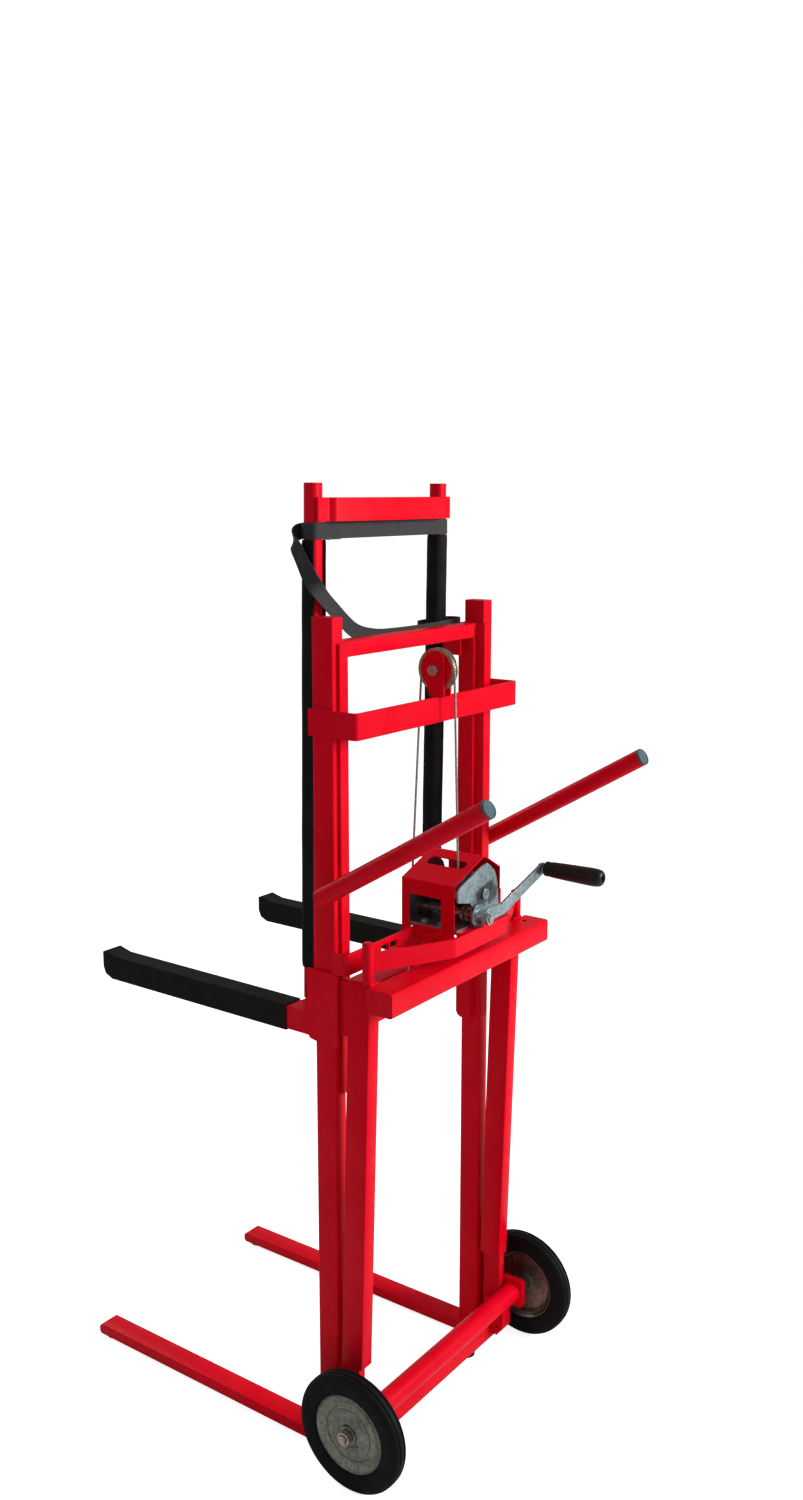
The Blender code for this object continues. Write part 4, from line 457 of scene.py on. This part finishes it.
def wheel_disc(side, word):
    """Pressed disc with a rolled rim, a raised ring round the dish and a hub tube."""
    near = side * HUB_IN
    far = side * WHEEL_OUT
    middle = side * (WHEEL_IN + WHEEL_OUT) / 2
    rim = side * RIM_HALF
    wall = 0.002 * side
    dish = middle + side * 0.004
    profile = [
        (HUB_BORE, near), (0.0165, near), (0.0170, dish - wall), (0.054, dish - wall),
        (0.060, dish - 3.5 * wall), (0.0625, middle - rim + 1.5 * wall), (0.0648, middle - rim),
        (0.0657, middle - rim), (0.0657, middle + rim), (0.0645, middle + rim + 0.3 * wall),
        (0.0628, middle + rim - 1.0 * wall), (0.0585, dish + 2.2 * wall), (0.0520, dish + 1.2 * wall),
        (0.0475, dish + 1.0 * wall), (0.0450, dish + 2.0 * wall), (0.0420, dish + 2.1 * wall),
        (0.0395, dish + 1.1 * wall), (0.0250, dish + 1.1 * wall), (0.0205, dish + 2.4 * wall),
        (0.0165, dish + 3.0 * wall), (0.0162, far), (HUB_BORE, far),
    ]
    node = "wheel_disc_" + word
    piece = turned_piece(node, profile, "X", AXLE_Y, WHEEL_RADIUS, WHEEL_STEPS, 0.0012)
    piece.data.materials[0] = DULL_ZINC


# Pulley, grip and handles

PULLEY_Y = -0.039
PULLEY_Z = 1.300
GROOVE_RADIUS = 0.0302
BRASSY_FROM = 0.0296


def sheave():
    half = 0.007
    wall = [
        (0.0053, half), (0.011, half), (0.012, half - 0.0015), (0.028, half - 0.0015),
        (0.029, half - 0.0005), (0.035, half - 0.0012), (0.035, half - 0.0030),
        (GROOVE_RADIUS, 0.0022),
    ]
    profile = [(radius, -across) for radius, across in wall] + wall[::-1]
    piece = turned_piece("pulley_sheave", profile, "X", PULLEY_Y + MAST_Y, PULLEY_Z, 72, 0.0007)
    piece.data.materials.append(BRASSY_ZINC)
    for face in piece.data.polygons:
        centre = face.center - Vector((0, PULLEY_Y + MAST_Y, PULLEY_Z))
        if math.hypot(centre.y, centre.z) > BRASSY_FROM:
            face.material_index = 1


GRIP_X = 0.166
GRIP_Z = 0.950
GRIP_BASE_Y = -0.150
GRIP_LENGTH = 0.109
GRIP_BORE = 0.0055


def crank_grip():
    base = GRIP_BASE_Y + MAST_Y
    outer = [
        (0.0118, 0.0), (0.0128, -0.0012), (0.0130, -0.0045), (0.0123, -0.0058), (0.0124, -0.0075),
        (0.0132, -0.0130), (0.0140, -0.0300), (0.0147, -0.0550), (0.0153, -0.0780), (0.0155, -0.0900),
        (0.0150, -0.0985), (0.0138, -0.1040), (0.0112, -0.1075), (0.0078, -GRIP_LENGTH),
    ]
    profile = [(GRIP_BORE, base)] + [(r, base + y) for r, y in outer] + [(GRIP_BORE, base - GRIP_LENGTH)]
    turned_piece("crank_grip", profile, "Y", GRIP_X, GRIP_Z, 56, 0.0008)


HANDLE_RADIUS = 0.0146
HANDLE_WALL = 0.002
HANDLE_GAP = 0.0003
HANDLE_FOOT = (0.0155, 0.9662)
HANDLE_TAIL = (-0.2861875, 1.1470)
PLUG_DEEP = 0.025


def handle(side, word):
    """A tube from its foot on the post to its tail, with a plastic plug in the open end."""
    radius = HANDLE_RADIUS
    inner = radius - HANDLE_WALL
    x = side * (POST_OUTER + HANDLE_GAP + radius)
    start = Vector((x, HANDLE_FOOT[0] + MAST_Y, HANDLE_FOOT[1]))
    end = Vector((x, HANDLE_TAIL[0] + MAST_Y, HANDLE_TAIL[1]))
    run = end - start
    turn = Matrix.Translation(start) @ run.to_track_quat("Z", "X").to_matrix().to_4x4()
    length = run.length
    tube = [(radius, 0), (radius, length), (inner, length), (inner, 0)]
    form = spin(soften(tube, 0.0005), "Z", 0, 0, 56)
    bmesh.ops.transform(form, matrix=turn, verts=form.verts)
    piece = link("handle_" + word + "_finished", form, TURNED_ANGLE)
    finish_piece(piece, "handle_" + word)
    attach(piece, "mast")
    seat = length + HANDLE_GAP
    plug = [
        (inner - 0.0005, length - PLUG_DEEP), (inner - 0.0005, seat), (radius, seat),
        (radius, length + 0.0036), (radius - 0.0014, length + 0.0050), (radius - 0.0032, length + 0.0050),
        (radius - 0.0040, length + 0.0040), (0.0030, length + 0.0044), (0.0002, length + 0.0044),
    ]
    form = spin(soften(plug, 0.0007, False), "Z", 0, 0, 48, False)
    bmesh.ops.transform(form, matrix=turn, verts=form.verts)
    cap = link("handle_plug_" + word + "_finished", form, TURNED_ANGLE)
    finish_piece(cap, "handle_plug_" + word, material=PLUG_PAINTED_REFLECTION)
    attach(cap, "mast")


# Wire rope

CABLE_RADIUS = 0.002
CABLE_LAY = 0.026


def strand_section(turn, radius, lobes=6, per_lobe=4):
    """Points round a rope of six strands, turned by this angle."""
    points = []
    count = lobes * per_lobe
    for i in range(count):
        angle = 2 * math.pi * i / count
        bulge = abs(math.cos(angle * lobes / 2)) ** 0.8
        points.append((angle + turn, radius * (0.80 + 0.20 * bulge)))
    return points


def smooth_line(points, per_span):
    points = [Vector(p) for p in points]
    ends = [2 * points[0] - points[1]] + points + [2 * points[-1] - points[-2]]
    line = []
    for i in range(1, len(ends) - 2):
        p0, p1, p2, p3 = ends[i - 1:i + 3]
        for step in range(per_span):
            t = step / per_span
            line.append(0.5 * (
                2 * p1 + (p2 - p0) * t + (2 * p0 - 5 * p1 + 4 * p2 - p3) * t ** 2
                + (3 * p1 - p0 - 3 * p2 + p3) * t ** 3
            ))
    line.append(points[-1])
    return line


def resample(line, step):
    """Points an even step apart along a line."""
    out = [line[0]]
    left = step
    for a, b in zip(line, line[1:]):
        length = (b - a).length
        done = 0.0
        while length - done >= left:
            done += left
            out.append(a.lerp(b, done / length))
            left = step
        left -= length - done
    if (out[-1] - line[-1]).length > step * 0.2:
        out.append(line[-1])
    return out


def rope(line, step, form=None):
    """A laid rope: a lobed section that turns once in each lay length."""
    form = form or bmesh.new()
    line = resample(line, step)
    side = Vector((1, 0, 0))
    rings = []
    for i, here in enumerate(line):
        run = (line[min(i + 1, len(line) - 1)] - line[max(i - 1, 0)]).normalized()
        side = (side - run * side.dot(run)).normalized()
        up = run.cross(side)
        ring = []
        for angle, reach in strand_section(2 * math.pi * i * step / CABLE_LAY, CABLE_RADIUS):
            ring.append(form.verts.new(here + (side * math.cos(angle) + up * math.sin(angle)) * reach))
        rings.append(ring)
    return skin(form, rings)


CABLE_STEP = 0.0020
COIL_STEP = 0.0042
COIL_RADIUS = 0.0290
DRUM_X = 0.0327115
DRUM_Z = 0.9306418
OFF_DRUM_Y = -0.079
BEND_RADIUS = 0.0325
BEND_STEPS = 36
ANCHOR_Y = 0.020
ANCHOR_Z = 0.7753


def cables():
    off_drum = Vector((DRUM_X - COIL_RADIUS, OFF_DRUM_Y, DRUM_Z))
    at_pulley = Vector((0, PULLEY_Y - BEND_RADIUS, PULLEY_Z - 0.020))
    line = smooth_line([off_drum.lerp(at_pulley, share) for share in (0, 0.2, 0.63, 1)], 8)
    for step in range(BEND_STEPS + 1):
        angle = math.pi * (1 - step / BEND_STEPS)
        line.append(Vector((
            0, PULLEY_Y + BEND_RADIUS * math.cos(angle), PULLEY_Z + BEND_RADIUS * math.sin(angle),
        )))
    line = [point + Vector((0, MAST_Y, 0)) for point in line]
    piece = link("cable_winch_run_finished", rope(line, CABLE_STEP), 180)
    finish_piece(piece, "cable_winch_run")
    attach(piece, "mast")
    top = Vector((0, PULLEY_Y + BEND_RADIUS + MAST_Y, PULLEY_Z - 0.0003))
    low = Vector((0, ANCHOR_Y + MAST_Y, ANCHOR_Z))
    piece = link("cable_carriage_run_finished", rope([top, low], CABLE_STEP), 180)
    finish_piece(piece, "cable_carriage_run")
    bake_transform(piece)


def wound_cable():
    """Turns side by side on the drum, one short layer below at the rear."""
    core = [(0.0183, -0.0128), (COIL_RADIUS, -0.0128), (COIL_RADIUS, -0.0763),
            (0.0250, -0.0765), (0.0250, -0.0830), (0.0183, -0.0830)]
    form = bmesh.new()
    spin([(radius, y + MAST_Y) for radius, y in core], "Y", DRUM_X, DRUM_Z, 48, True, form)
    pitch = 0.0041
    for radius, start, end in ((COIL_RADIUS, -0.0148, -0.0745), (0.0247, -0.0785, -0.0812)):
        turns = abs(end - start) / pitch
        count = int(turns * 40)
        line = []
        for i in range(count + 1):
            angle = 2 * math.pi * turns * i / count
            x = DRUM_X - radius * math.cos(angle)
            y = start + (end - start) * i / count + MAST_Y
            line.append(Vector((x, y, DRUM_Z + radius * math.sin(angle))))
        rope(line, COIL_STEP, form)
    piece = link("cable_on_drum_finished", form, 180)
    finish_piece(piece, "cable_on_drum")
    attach(piece, "drum")


# Soft pieces

LEAN = 0.0153
UPRIGHT_TOP = 1.594
UPRIGHT_FRONT_TOP = 0.0910
UPRIGHT_DEEP = 0.026
UPRIGHT_HALF = 0.0125
UPRIGHT_CORNER = 0.009
UPRIGHT_X = 0.1675
UPRIGHT_REAR_TOP = UPRIGHT_FRONT_TOP - UPRIGHT_DEEP
PAD_LOW = 0.824
PAD_TOP = 1.508
PAD_GAP = 0.0004
PAD_WALL = 0.0028
PAD_SEAM = 0.0001
PAD_LEVELS = 90
PAD_PINCH = 0.004


def upright_front(z):
    return UPRIGHT_FRONT_TOP + LEAN * (UPRIGHT_TOP - z)


def pad_ring(side, out):
    """A pad's section this far out from the upright: open at the rear, or right round."""
    x = UPRIGHT_HALF + out
    rear = UPRIGHT_REAR_TOP - out
    front = UPRIGHT_FRONT_TOP + out
    radius = UPRIGHT_CORNER + out
    arcs = [(-x + radius, front - radius, 180), (x - radius, front - radius, 90)]
    first, last = (-x, UPRIGHT_REAR_TOP), (x, UPRIGHT_REAR_TOP)
    if side > 0:
        arcs = [(-x + radius, rear + radius, 270)] + arcs + [(x - radius, rear + radius, 0)]
        first, last = (-PAD_SEAM, rear), (PAD_SEAM, rear)
    points = [first]
    for cx, cy, start in arcs:
        points += quarter(cx, cy, radius, start, 6)
    return points + [last]


def pad(side, word):
    """Foam sleeve, a little uneven along its length and pinched at its ends.

    The left one is a U that leaves the upright's rear face bare, and the right one goes round.
    """
    outer = pad_ring(side, PAD_GAP + PAD_WALL)
    outline = outer + pad_ring(side, PAD_GAP)[::-1]
    centre = Vector((0, (UPRIGHT_FRONT_TOP + UPRIGHT_REAR_TOP) / 2))
    form = bmesh.new()
    rings = []
    for k in range(PAD_LEVELS + 1):
        z = PAD_LOW + (PAD_TOP - PAD_LOW) * k / PAD_LEVELS
        ends = min(1.0, min(z - PAD_LOW, PAD_TOP - z) / PAD_PINCH)
        points = []
        for i, (u, v) in enumerate(outline):
            swell = 0.0
            if i < len(outer):
                swell = -0.0008 * (1 - ends) + 0.0004 * noise.noise(Vector((u * 40, v * 40, z * 22)))
            place = Vector((u, v)) + (Vector((u, v)) - centre).normalized() * swell
            points.append(form.verts.new((
                UPRIGHT_X * side + place.x, place.y + LEAN * (UPRIGHT_TOP - z) + MAST_Y, z,
            )))
        rings.append(points)
    piece = link("pad_" + word + "_foam", skin(form, rings), 50)
    finish_piece(piece, "pad_" + word)
    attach(piece, "carriage")


STRAP_WIDE = 0.025
STRAP_THICK = 0.0018
STRAP_Z = 1.5215
STRAP_CLEAR = 0.0006
STRAP_CORNER = 0.0094
STRAP_ANGLE = 60.0
TAIL_Z = 1.349
TAIL_BEHIND = 0.0525
TAIL_PAST = 0.029


def web(line):
    """Webbing along a line: rounded selvedges, and a raised rib along each edge."""
    form = bmesh.new()
    half, thick = STRAP_WIDE / 2, STRAP_THICK / 2
    face = [
        (-1.0, 0.35), (-0.97, 0.8), (-0.90, 0.95), (-0.82, 0.78),
        (0.82, 0.78), (0.90, 0.95), (0.97, 0.8), (1.0, 0.35),
    ]
    section = face + [(s, -t) for s, t in reversed(face)]
    rings = []
    for i, here in enumerate(line):
        run = (line[min(i + 1, len(line) - 1)] - line[max(i - 1, 0)]).normalized()
        up = (Vector((0, 0, 1)) - run * run.z).normalized()
        out = run.cross(up)
        rings.append([form.verts.new(here + up * half * s + out * thick * t) for s, t in section])
    return skin(form, rings)


def strap_loop():
    half = STRAP_WIDE / 2
    front = upright_front(STRAP_Z - half) + STRAP_CLEAR + STRAP_THICK / 2
    rear = upright_front(STRAP_Z + half) - UPRIGHT_DEEP - STRAP_CLEAR - STRAP_THICK / 2
    side = UPRIGHT_X + UPRIGHT_HALF + STRAP_CLEAR + STRAP_THICK / 2
    radius = STRAP_CORNER
    line = []
    for cx, cy, start in ((side - radius, front - radius, 90), (side - radius, rear + radius, 0),
                          (-side + radius, rear + radius, 270), (-side + radius, front - radius, 180)):
        line += [Vector((x, y + MAST_Y, STRAP_Z)) for x, y in quarter(cx, cy, radius, start, 8)]
    line.append(line[0] + Vector((-0.0005, 0, 0)))
    piece = link("strap_loop_webbing", web(line), STRAP_ANGLE)
    finish_piece(piece, "strap_loop")
    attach(piece, "carriage")


def strap_tail():
    face = upright_front(STRAP_Z - STRAP_WIDE / 2) + STRAP_CLEAR + STRAP_THICK + 0.0003
    rest = face + STRAP_THICK / 2
    pad_front = upright_front(TAIL_Z) + 0.003 + 0.0009 + STRAP_THICK
    out = UPRIGHT_X + UPRIGHT_HALF + STRAP_CLEAR + STRAP_THICK
    behind = TAIL_BEHIND
    far = UPRIGHT_X + UPRIGHT_HALF + TAIL_PAST
    tail = [
        (-0.125, rest, STRAP_Z), (-0.145, rest + 0.0015, STRAP_Z), (-0.161, rest + 0.0043, STRAP_Z),
        (0.003 - out, rest + 0.0063, STRAP_Z - 0.0035), (-out - 0.0080, rest + 0.0028, STRAP_Z - 0.0145),
        (-out - 0.0105, rest - 0.0087, STRAP_Z - 0.0335), (-out - 0.0095, rest - 0.0260, STRAP_Z - 0.0635),
        (-out, behind + 0.004, STRAP_Z - 0.0905), (-0.150, behind + 0.0005, TAIL_Z + 0.052),
        (-0.100, behind, TAIL_Z + 0.016), (-0.050, behind, TAIL_Z + 0.003), (0.000, behind, TAIL_Z),
        (0.060, behind, TAIL_Z - 0.0005), (0.120, behind, TAIL_Z), (0.175, behind + 0.001, TAIL_Z + 0.0015),
        (far, behind + 0.0065, TAIL_Z + 0.0015), (far + 0.0145, behind + 0.0215, TAIL_Z + 0.0015),
        (far + 0.009, behind + 0.0405, TAIL_Z + 0.0015), (far - 0.011, pad_front + 0.002, TAIL_Z + 0.001),
        (0.170, pad_front, TAIL_Z), (0.140, pad_front, TAIL_Z - 0.001),
    ]
    line = [point + Vector((0, MAST_Y, 0)) for point in smooth_line(tail, 8)]
    piece = link("strap_tail_webbing", web(line), STRAP_ANGLE)
    finish_piece(piece, "strap_tail")
    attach(piece, "carriage")


# Welds

BEAD_RIPPLE_STEP = 0.0011
BEAD_SIDES = 8


def bead(name, start, end, body, radius):
    """A rippled weld bead along a joint, under the paint."""
    start = Vector(start) + Vector((0, MAST_Y, 0))
    end = Vector(end) + Vector((0, MAST_Y, 0))
    run = end - start
    count = max(6, int(run.length / BEAD_RIPPLE_STEP))
    side = run.orthogonal().normalized()
    up = run.normalized().cross(side)
    angles = [2 * math.pi * k / BEAD_SIDES for k in range(BEAD_SIDES)]
    form = bmesh.new()
    rings = []
    for i in range(count + 1):
        t = i / count
        ripple = 1 + 0.14 * math.sin(i * 1.9) + 0.10 * noise.noise(start * 90 + Vector((t * 30, 0, 0)))
        taper = min(1.0, 0.45 + 6 * min(t, 1 - t))
        size = radius * ripple * taper
        here = start.lerp(end, t)
        rings.append([
            form.verts.new(here + (side * math.cos(a) + up * math.sin(a)) * size) for a in angles
        ])
    piece = link(name, skin(form, rings), 180)
    piece.data.materials.append(LOOKS["red_paint"])
    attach(piece, body)


POST_INNER = 0.195
TOP_TUBE_END = 0.1899
BAR_END = 0.1590
FORK_TOP_WELD = 0.7698
# Each weld's name, body, radius and two ends, with X as on the right-hand side
WELDS = (
    ("post_front", "mast", 0.0022, (POST_INNER, 0.040, 0.0247), (POST_OUTER, 0.040, 0.0247)),
    ("post_side", "mast", 0.0022, (POST_INNER, 0.001, 0.0247), (POST_INNER, 0.039, 0.0247)),
    ("base_top", "mast", 0.0018, (POST_INNER, -0.0002, 0.0466), (POST_OUTER, -0.0002, 0.0466)),
    ("base_rear", "mast", 0.0016, (POST_INNER, -0.0332, 0.020), (POST_INNER, -0.0332, 0.0445)),
    ("foot", "mast", 0.0016, (0.2070, -0.0428, 0.1771), (0.2220, -0.0428, 0.1771)),
    ("member", "mast", 0.0018, (POST_INNER, -0.0683, 0.8372), (POST_OUTER, -0.0683, 0.8372)),
    ("member_low", "mast", 0.0018, (POST_INNER, -0.0680, 0.7985), (POST_OUTER, -0.0680, 0.7985)),
    ("winch_hoop", "mast", 0.0015, (POST_OUTER, 0.0005, 0.8794), (POST_OUTER, 0.003, 0.8794)),
    ("hoop_top", "mast", 0.0014, (POST_OUTER, 0.004, 1.2574), (POST_OUTER, 0.036, 1.2574)),
    ("hoop_low", "mast", 0.0014, (POST_OUTER, 0.004, 1.2167), (POST_OUTER, 0.036, 1.2167)),
    ("top_tube", "carriage", 0.0016, (TOP_TUBE_END, 0.013, 1.357), (TOP_TUBE_END, 0.040, 1.357)),
    ("top_tube_rear", "carriage", 0.0016, (TOP_TUBE_END, 0.011, 1.334), (TOP_TUBE_END, 0.011, 1.355)),
    ("bar_rear", "carriage", 0.0016, (BAR_END, 0.0652, 1.537), (BAR_END, 0.0652, 1.570)),
    ("upright", "carriage", 0.0018, (0.160, 0.0777, FORK_TOP_WELD), (0.175, 0.0777, FORK_TOP_WELD)),
    ("fork_cross", "carriage", 0.0018, (0.190, 0.050, 0.7696), (0.190, 0.096, 0.7696)),
    ("fork_plate", "carriage", 0.0018, (0.2228, 0.0462, 0.7699), (0.2228, 0.0515, 0.7699)),
)


def welds():
    for side, word in ((-1, "left"), (1, "right")):
        for name, body, radius, (x0, y0, z0), (x1, y1, z1) in WELDS:
            bead("weld_" + name + "_" + word, (side * x0, y0, z0), (side * x1, y1, z1), body, radius)


# Studio

WORLD_STRENGTH = 0.36
FLOOR_GLOW = 0.82
FLOOR_Z = -0.0006
LAMP_AIM = (0, 0, 0.8)
# Each lamp's name, place, size and power
LAMPS = (
    ("key", (1.6, -3.6, 2.3), 1.6, 190.0),
    ("side", (-3.0, 0.6, 2.6), 1.8, 6.0),
    ("front", (0.6, 3.0, 2.6), 1.8, 30.0),
)


def studio():
    floor_form = bmesh.new()
    bmesh.ops.create_grid(floor_form, x_segments=1, y_segments=1, size=40.0)
    floor = link("floor", floor_form)
    g = Graph("pale_floor")
    tone = g.mix(g.span(g.noise(1.5, 2.0), 0.3, 0.7), (0.72, 0.72, 0.72), (0.76, 0.76, 0.76))
    g.set(Base_Color=tone, Roughness=0.9, Specular_IOR_Level=0.0, Emission_Color=(1, 1, 1, 1))
    seen = g.tree.nodes.new("ShaderNodeLightPath").outputs["Is Camera Ray"]
    g.set(Emission_Strength=g.maths("MULTIPLY", seen, FLOOR_GLOW))
    floor.data.materials.append(g.material)
    floor.location.z = FLOOR_Z

    world = bpy.data.worlds.new("studio")
    bpy.context.scene.world = world
    world.use_nodes = True
    nodes, links = world.node_tree.nodes, world.node_tree.links
    back = nodes["Background"]
    back.inputs["Color"].default_value = (1, 1, 1, 1)
    back.inputs["Strength"].default_value = WORLD_STRENGTH
    white = nodes.new("ShaderNodeBackground")
    white.inputs["Color"].default_value = (1, 1, 1, 1)
    white.inputs["Strength"].default_value = 1.0
    path = nodes.new("ShaderNodeLightPath")
    blend = nodes.new("ShaderNodeMixShader")
    links.new(path.outputs["Is Camera Ray"], blend.inputs["Fac"])
    links.new(back.outputs[0], blend.inputs[1])
    links.new(white.outputs[0], blend.inputs[2])
    links.new(blend.outputs[0], nodes["World Output"].inputs["Surface"])

    for name, place, size, power in LAMPS:
        data = bpy.data.lights.new(name, "AREA")
        data.size = size
        data.energy = power
        lamp = bpy.data.objects.new(name, data)
        lamp.location = place
        aim = Vector(LAMP_AIM) - Vector(place)
        lamp.rotation_euler = aim.to_track_quat("-Z", "Y").to_euler()
        bpy.context.collection.objects.link(lamp)


SENSOR = 36.0
FRAME_PIXELS = 1500
FOCAL_PIXELS = 1386.54
SHIFT_PIXELS = (-9.857, -2.278)
VIEW_DEGREES = (-54.40826, 10.53723, 0.09028)
VIEW_PLACE = (-1.823309, -1.291460, 1.583355)


def camera():
    """The photograph's own view, solved from the mast's straight edges."""
    azimuth, elevation, roll = (math.radians(angle) for angle in VIEW_DEGREES)
    level = math.cos(elevation)
    back = Vector((math.sin(azimuth) * level, -math.cos(azimuth) * level, math.sin(elevation)))
    right = Vector((math.cos(azimuth), math.sin(azimuth), 0))
    up = back.cross(right)
    rolled = right * math.cos(roll) + up * math.sin(roll)
    up = up * math.cos(roll) - right * math.sin(roll)
    data = bpy.data.cameras.new("camera")
    data.sensor_width = SENSOR
    data.lens = SENSOR * FOCAL_PIXELS / FRAME_PIXELS
    data.shift_x = SHIFT_PIXELS[0] / FRAME_PIXELS
    data.shift_y = SHIFT_PIXELS[1] / FRAME_PIXELS
    data.clip_start = 0.05
    view = bpy.data.objects.new("camera", data)
    turn = Matrix((rolled, up, back)).transposed().to_4x4()
    view.matrix_world = Matrix.Translation(Vector(VIEW_PLACE) + Vector((0, MAST_Y, 0))) @ turn
    bpy.context.collection.objects.link(view)
    bpy.context.scene.camera = view
    bpy.context.scene.view_settings.view_transform = "Standard"


camera()
studio()

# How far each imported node's edges are rounded: its own value, or the one for its finish
RED_EDGE = 0.0009
OTHER_EDGE = 0.0005
EDGES = {
    "fork_sleeve_left": 0.0012,
    "fork_sleeve_right": 0.0012,
    "winch_cover": 0.0004,
    "carriage_bar": 0.0007,
    "guard_bar": 0.0007,
}
# The nodes that the functions above make anew
REMADE = {
    "tyre_left", "tyre_right", "wheel_disc_left", "wheel_disc_right", "pulley_sheave", "crank_grip",
    "handle_left", "handle_right", "handle_plug_left", "handle_plug_right", "cable_winch_run",
    "cable_carriage_run", "cable_on_drum", "pad_left", "pad_right", "strap_loop", "strap_tail",
}
for node_name in sorted(frame["nodes"]):
    if node_name not in REMADE:
        default = RED_EDGE if SLOT_OF[node_name] == "red_paint" else OTHER_EDGE
        dress(node_name, EDGES.get(node_name, default))
for hand, label in ((-1, "left"), (1, "right")):
    tyre(hand, label)
    wheel_disc(hand, label)
    handle(hand, label)
    pad(hand, label)
sheave()
crank_grip()
cables()
wound_cable()
strap_loop()
strap_tail()
welds()
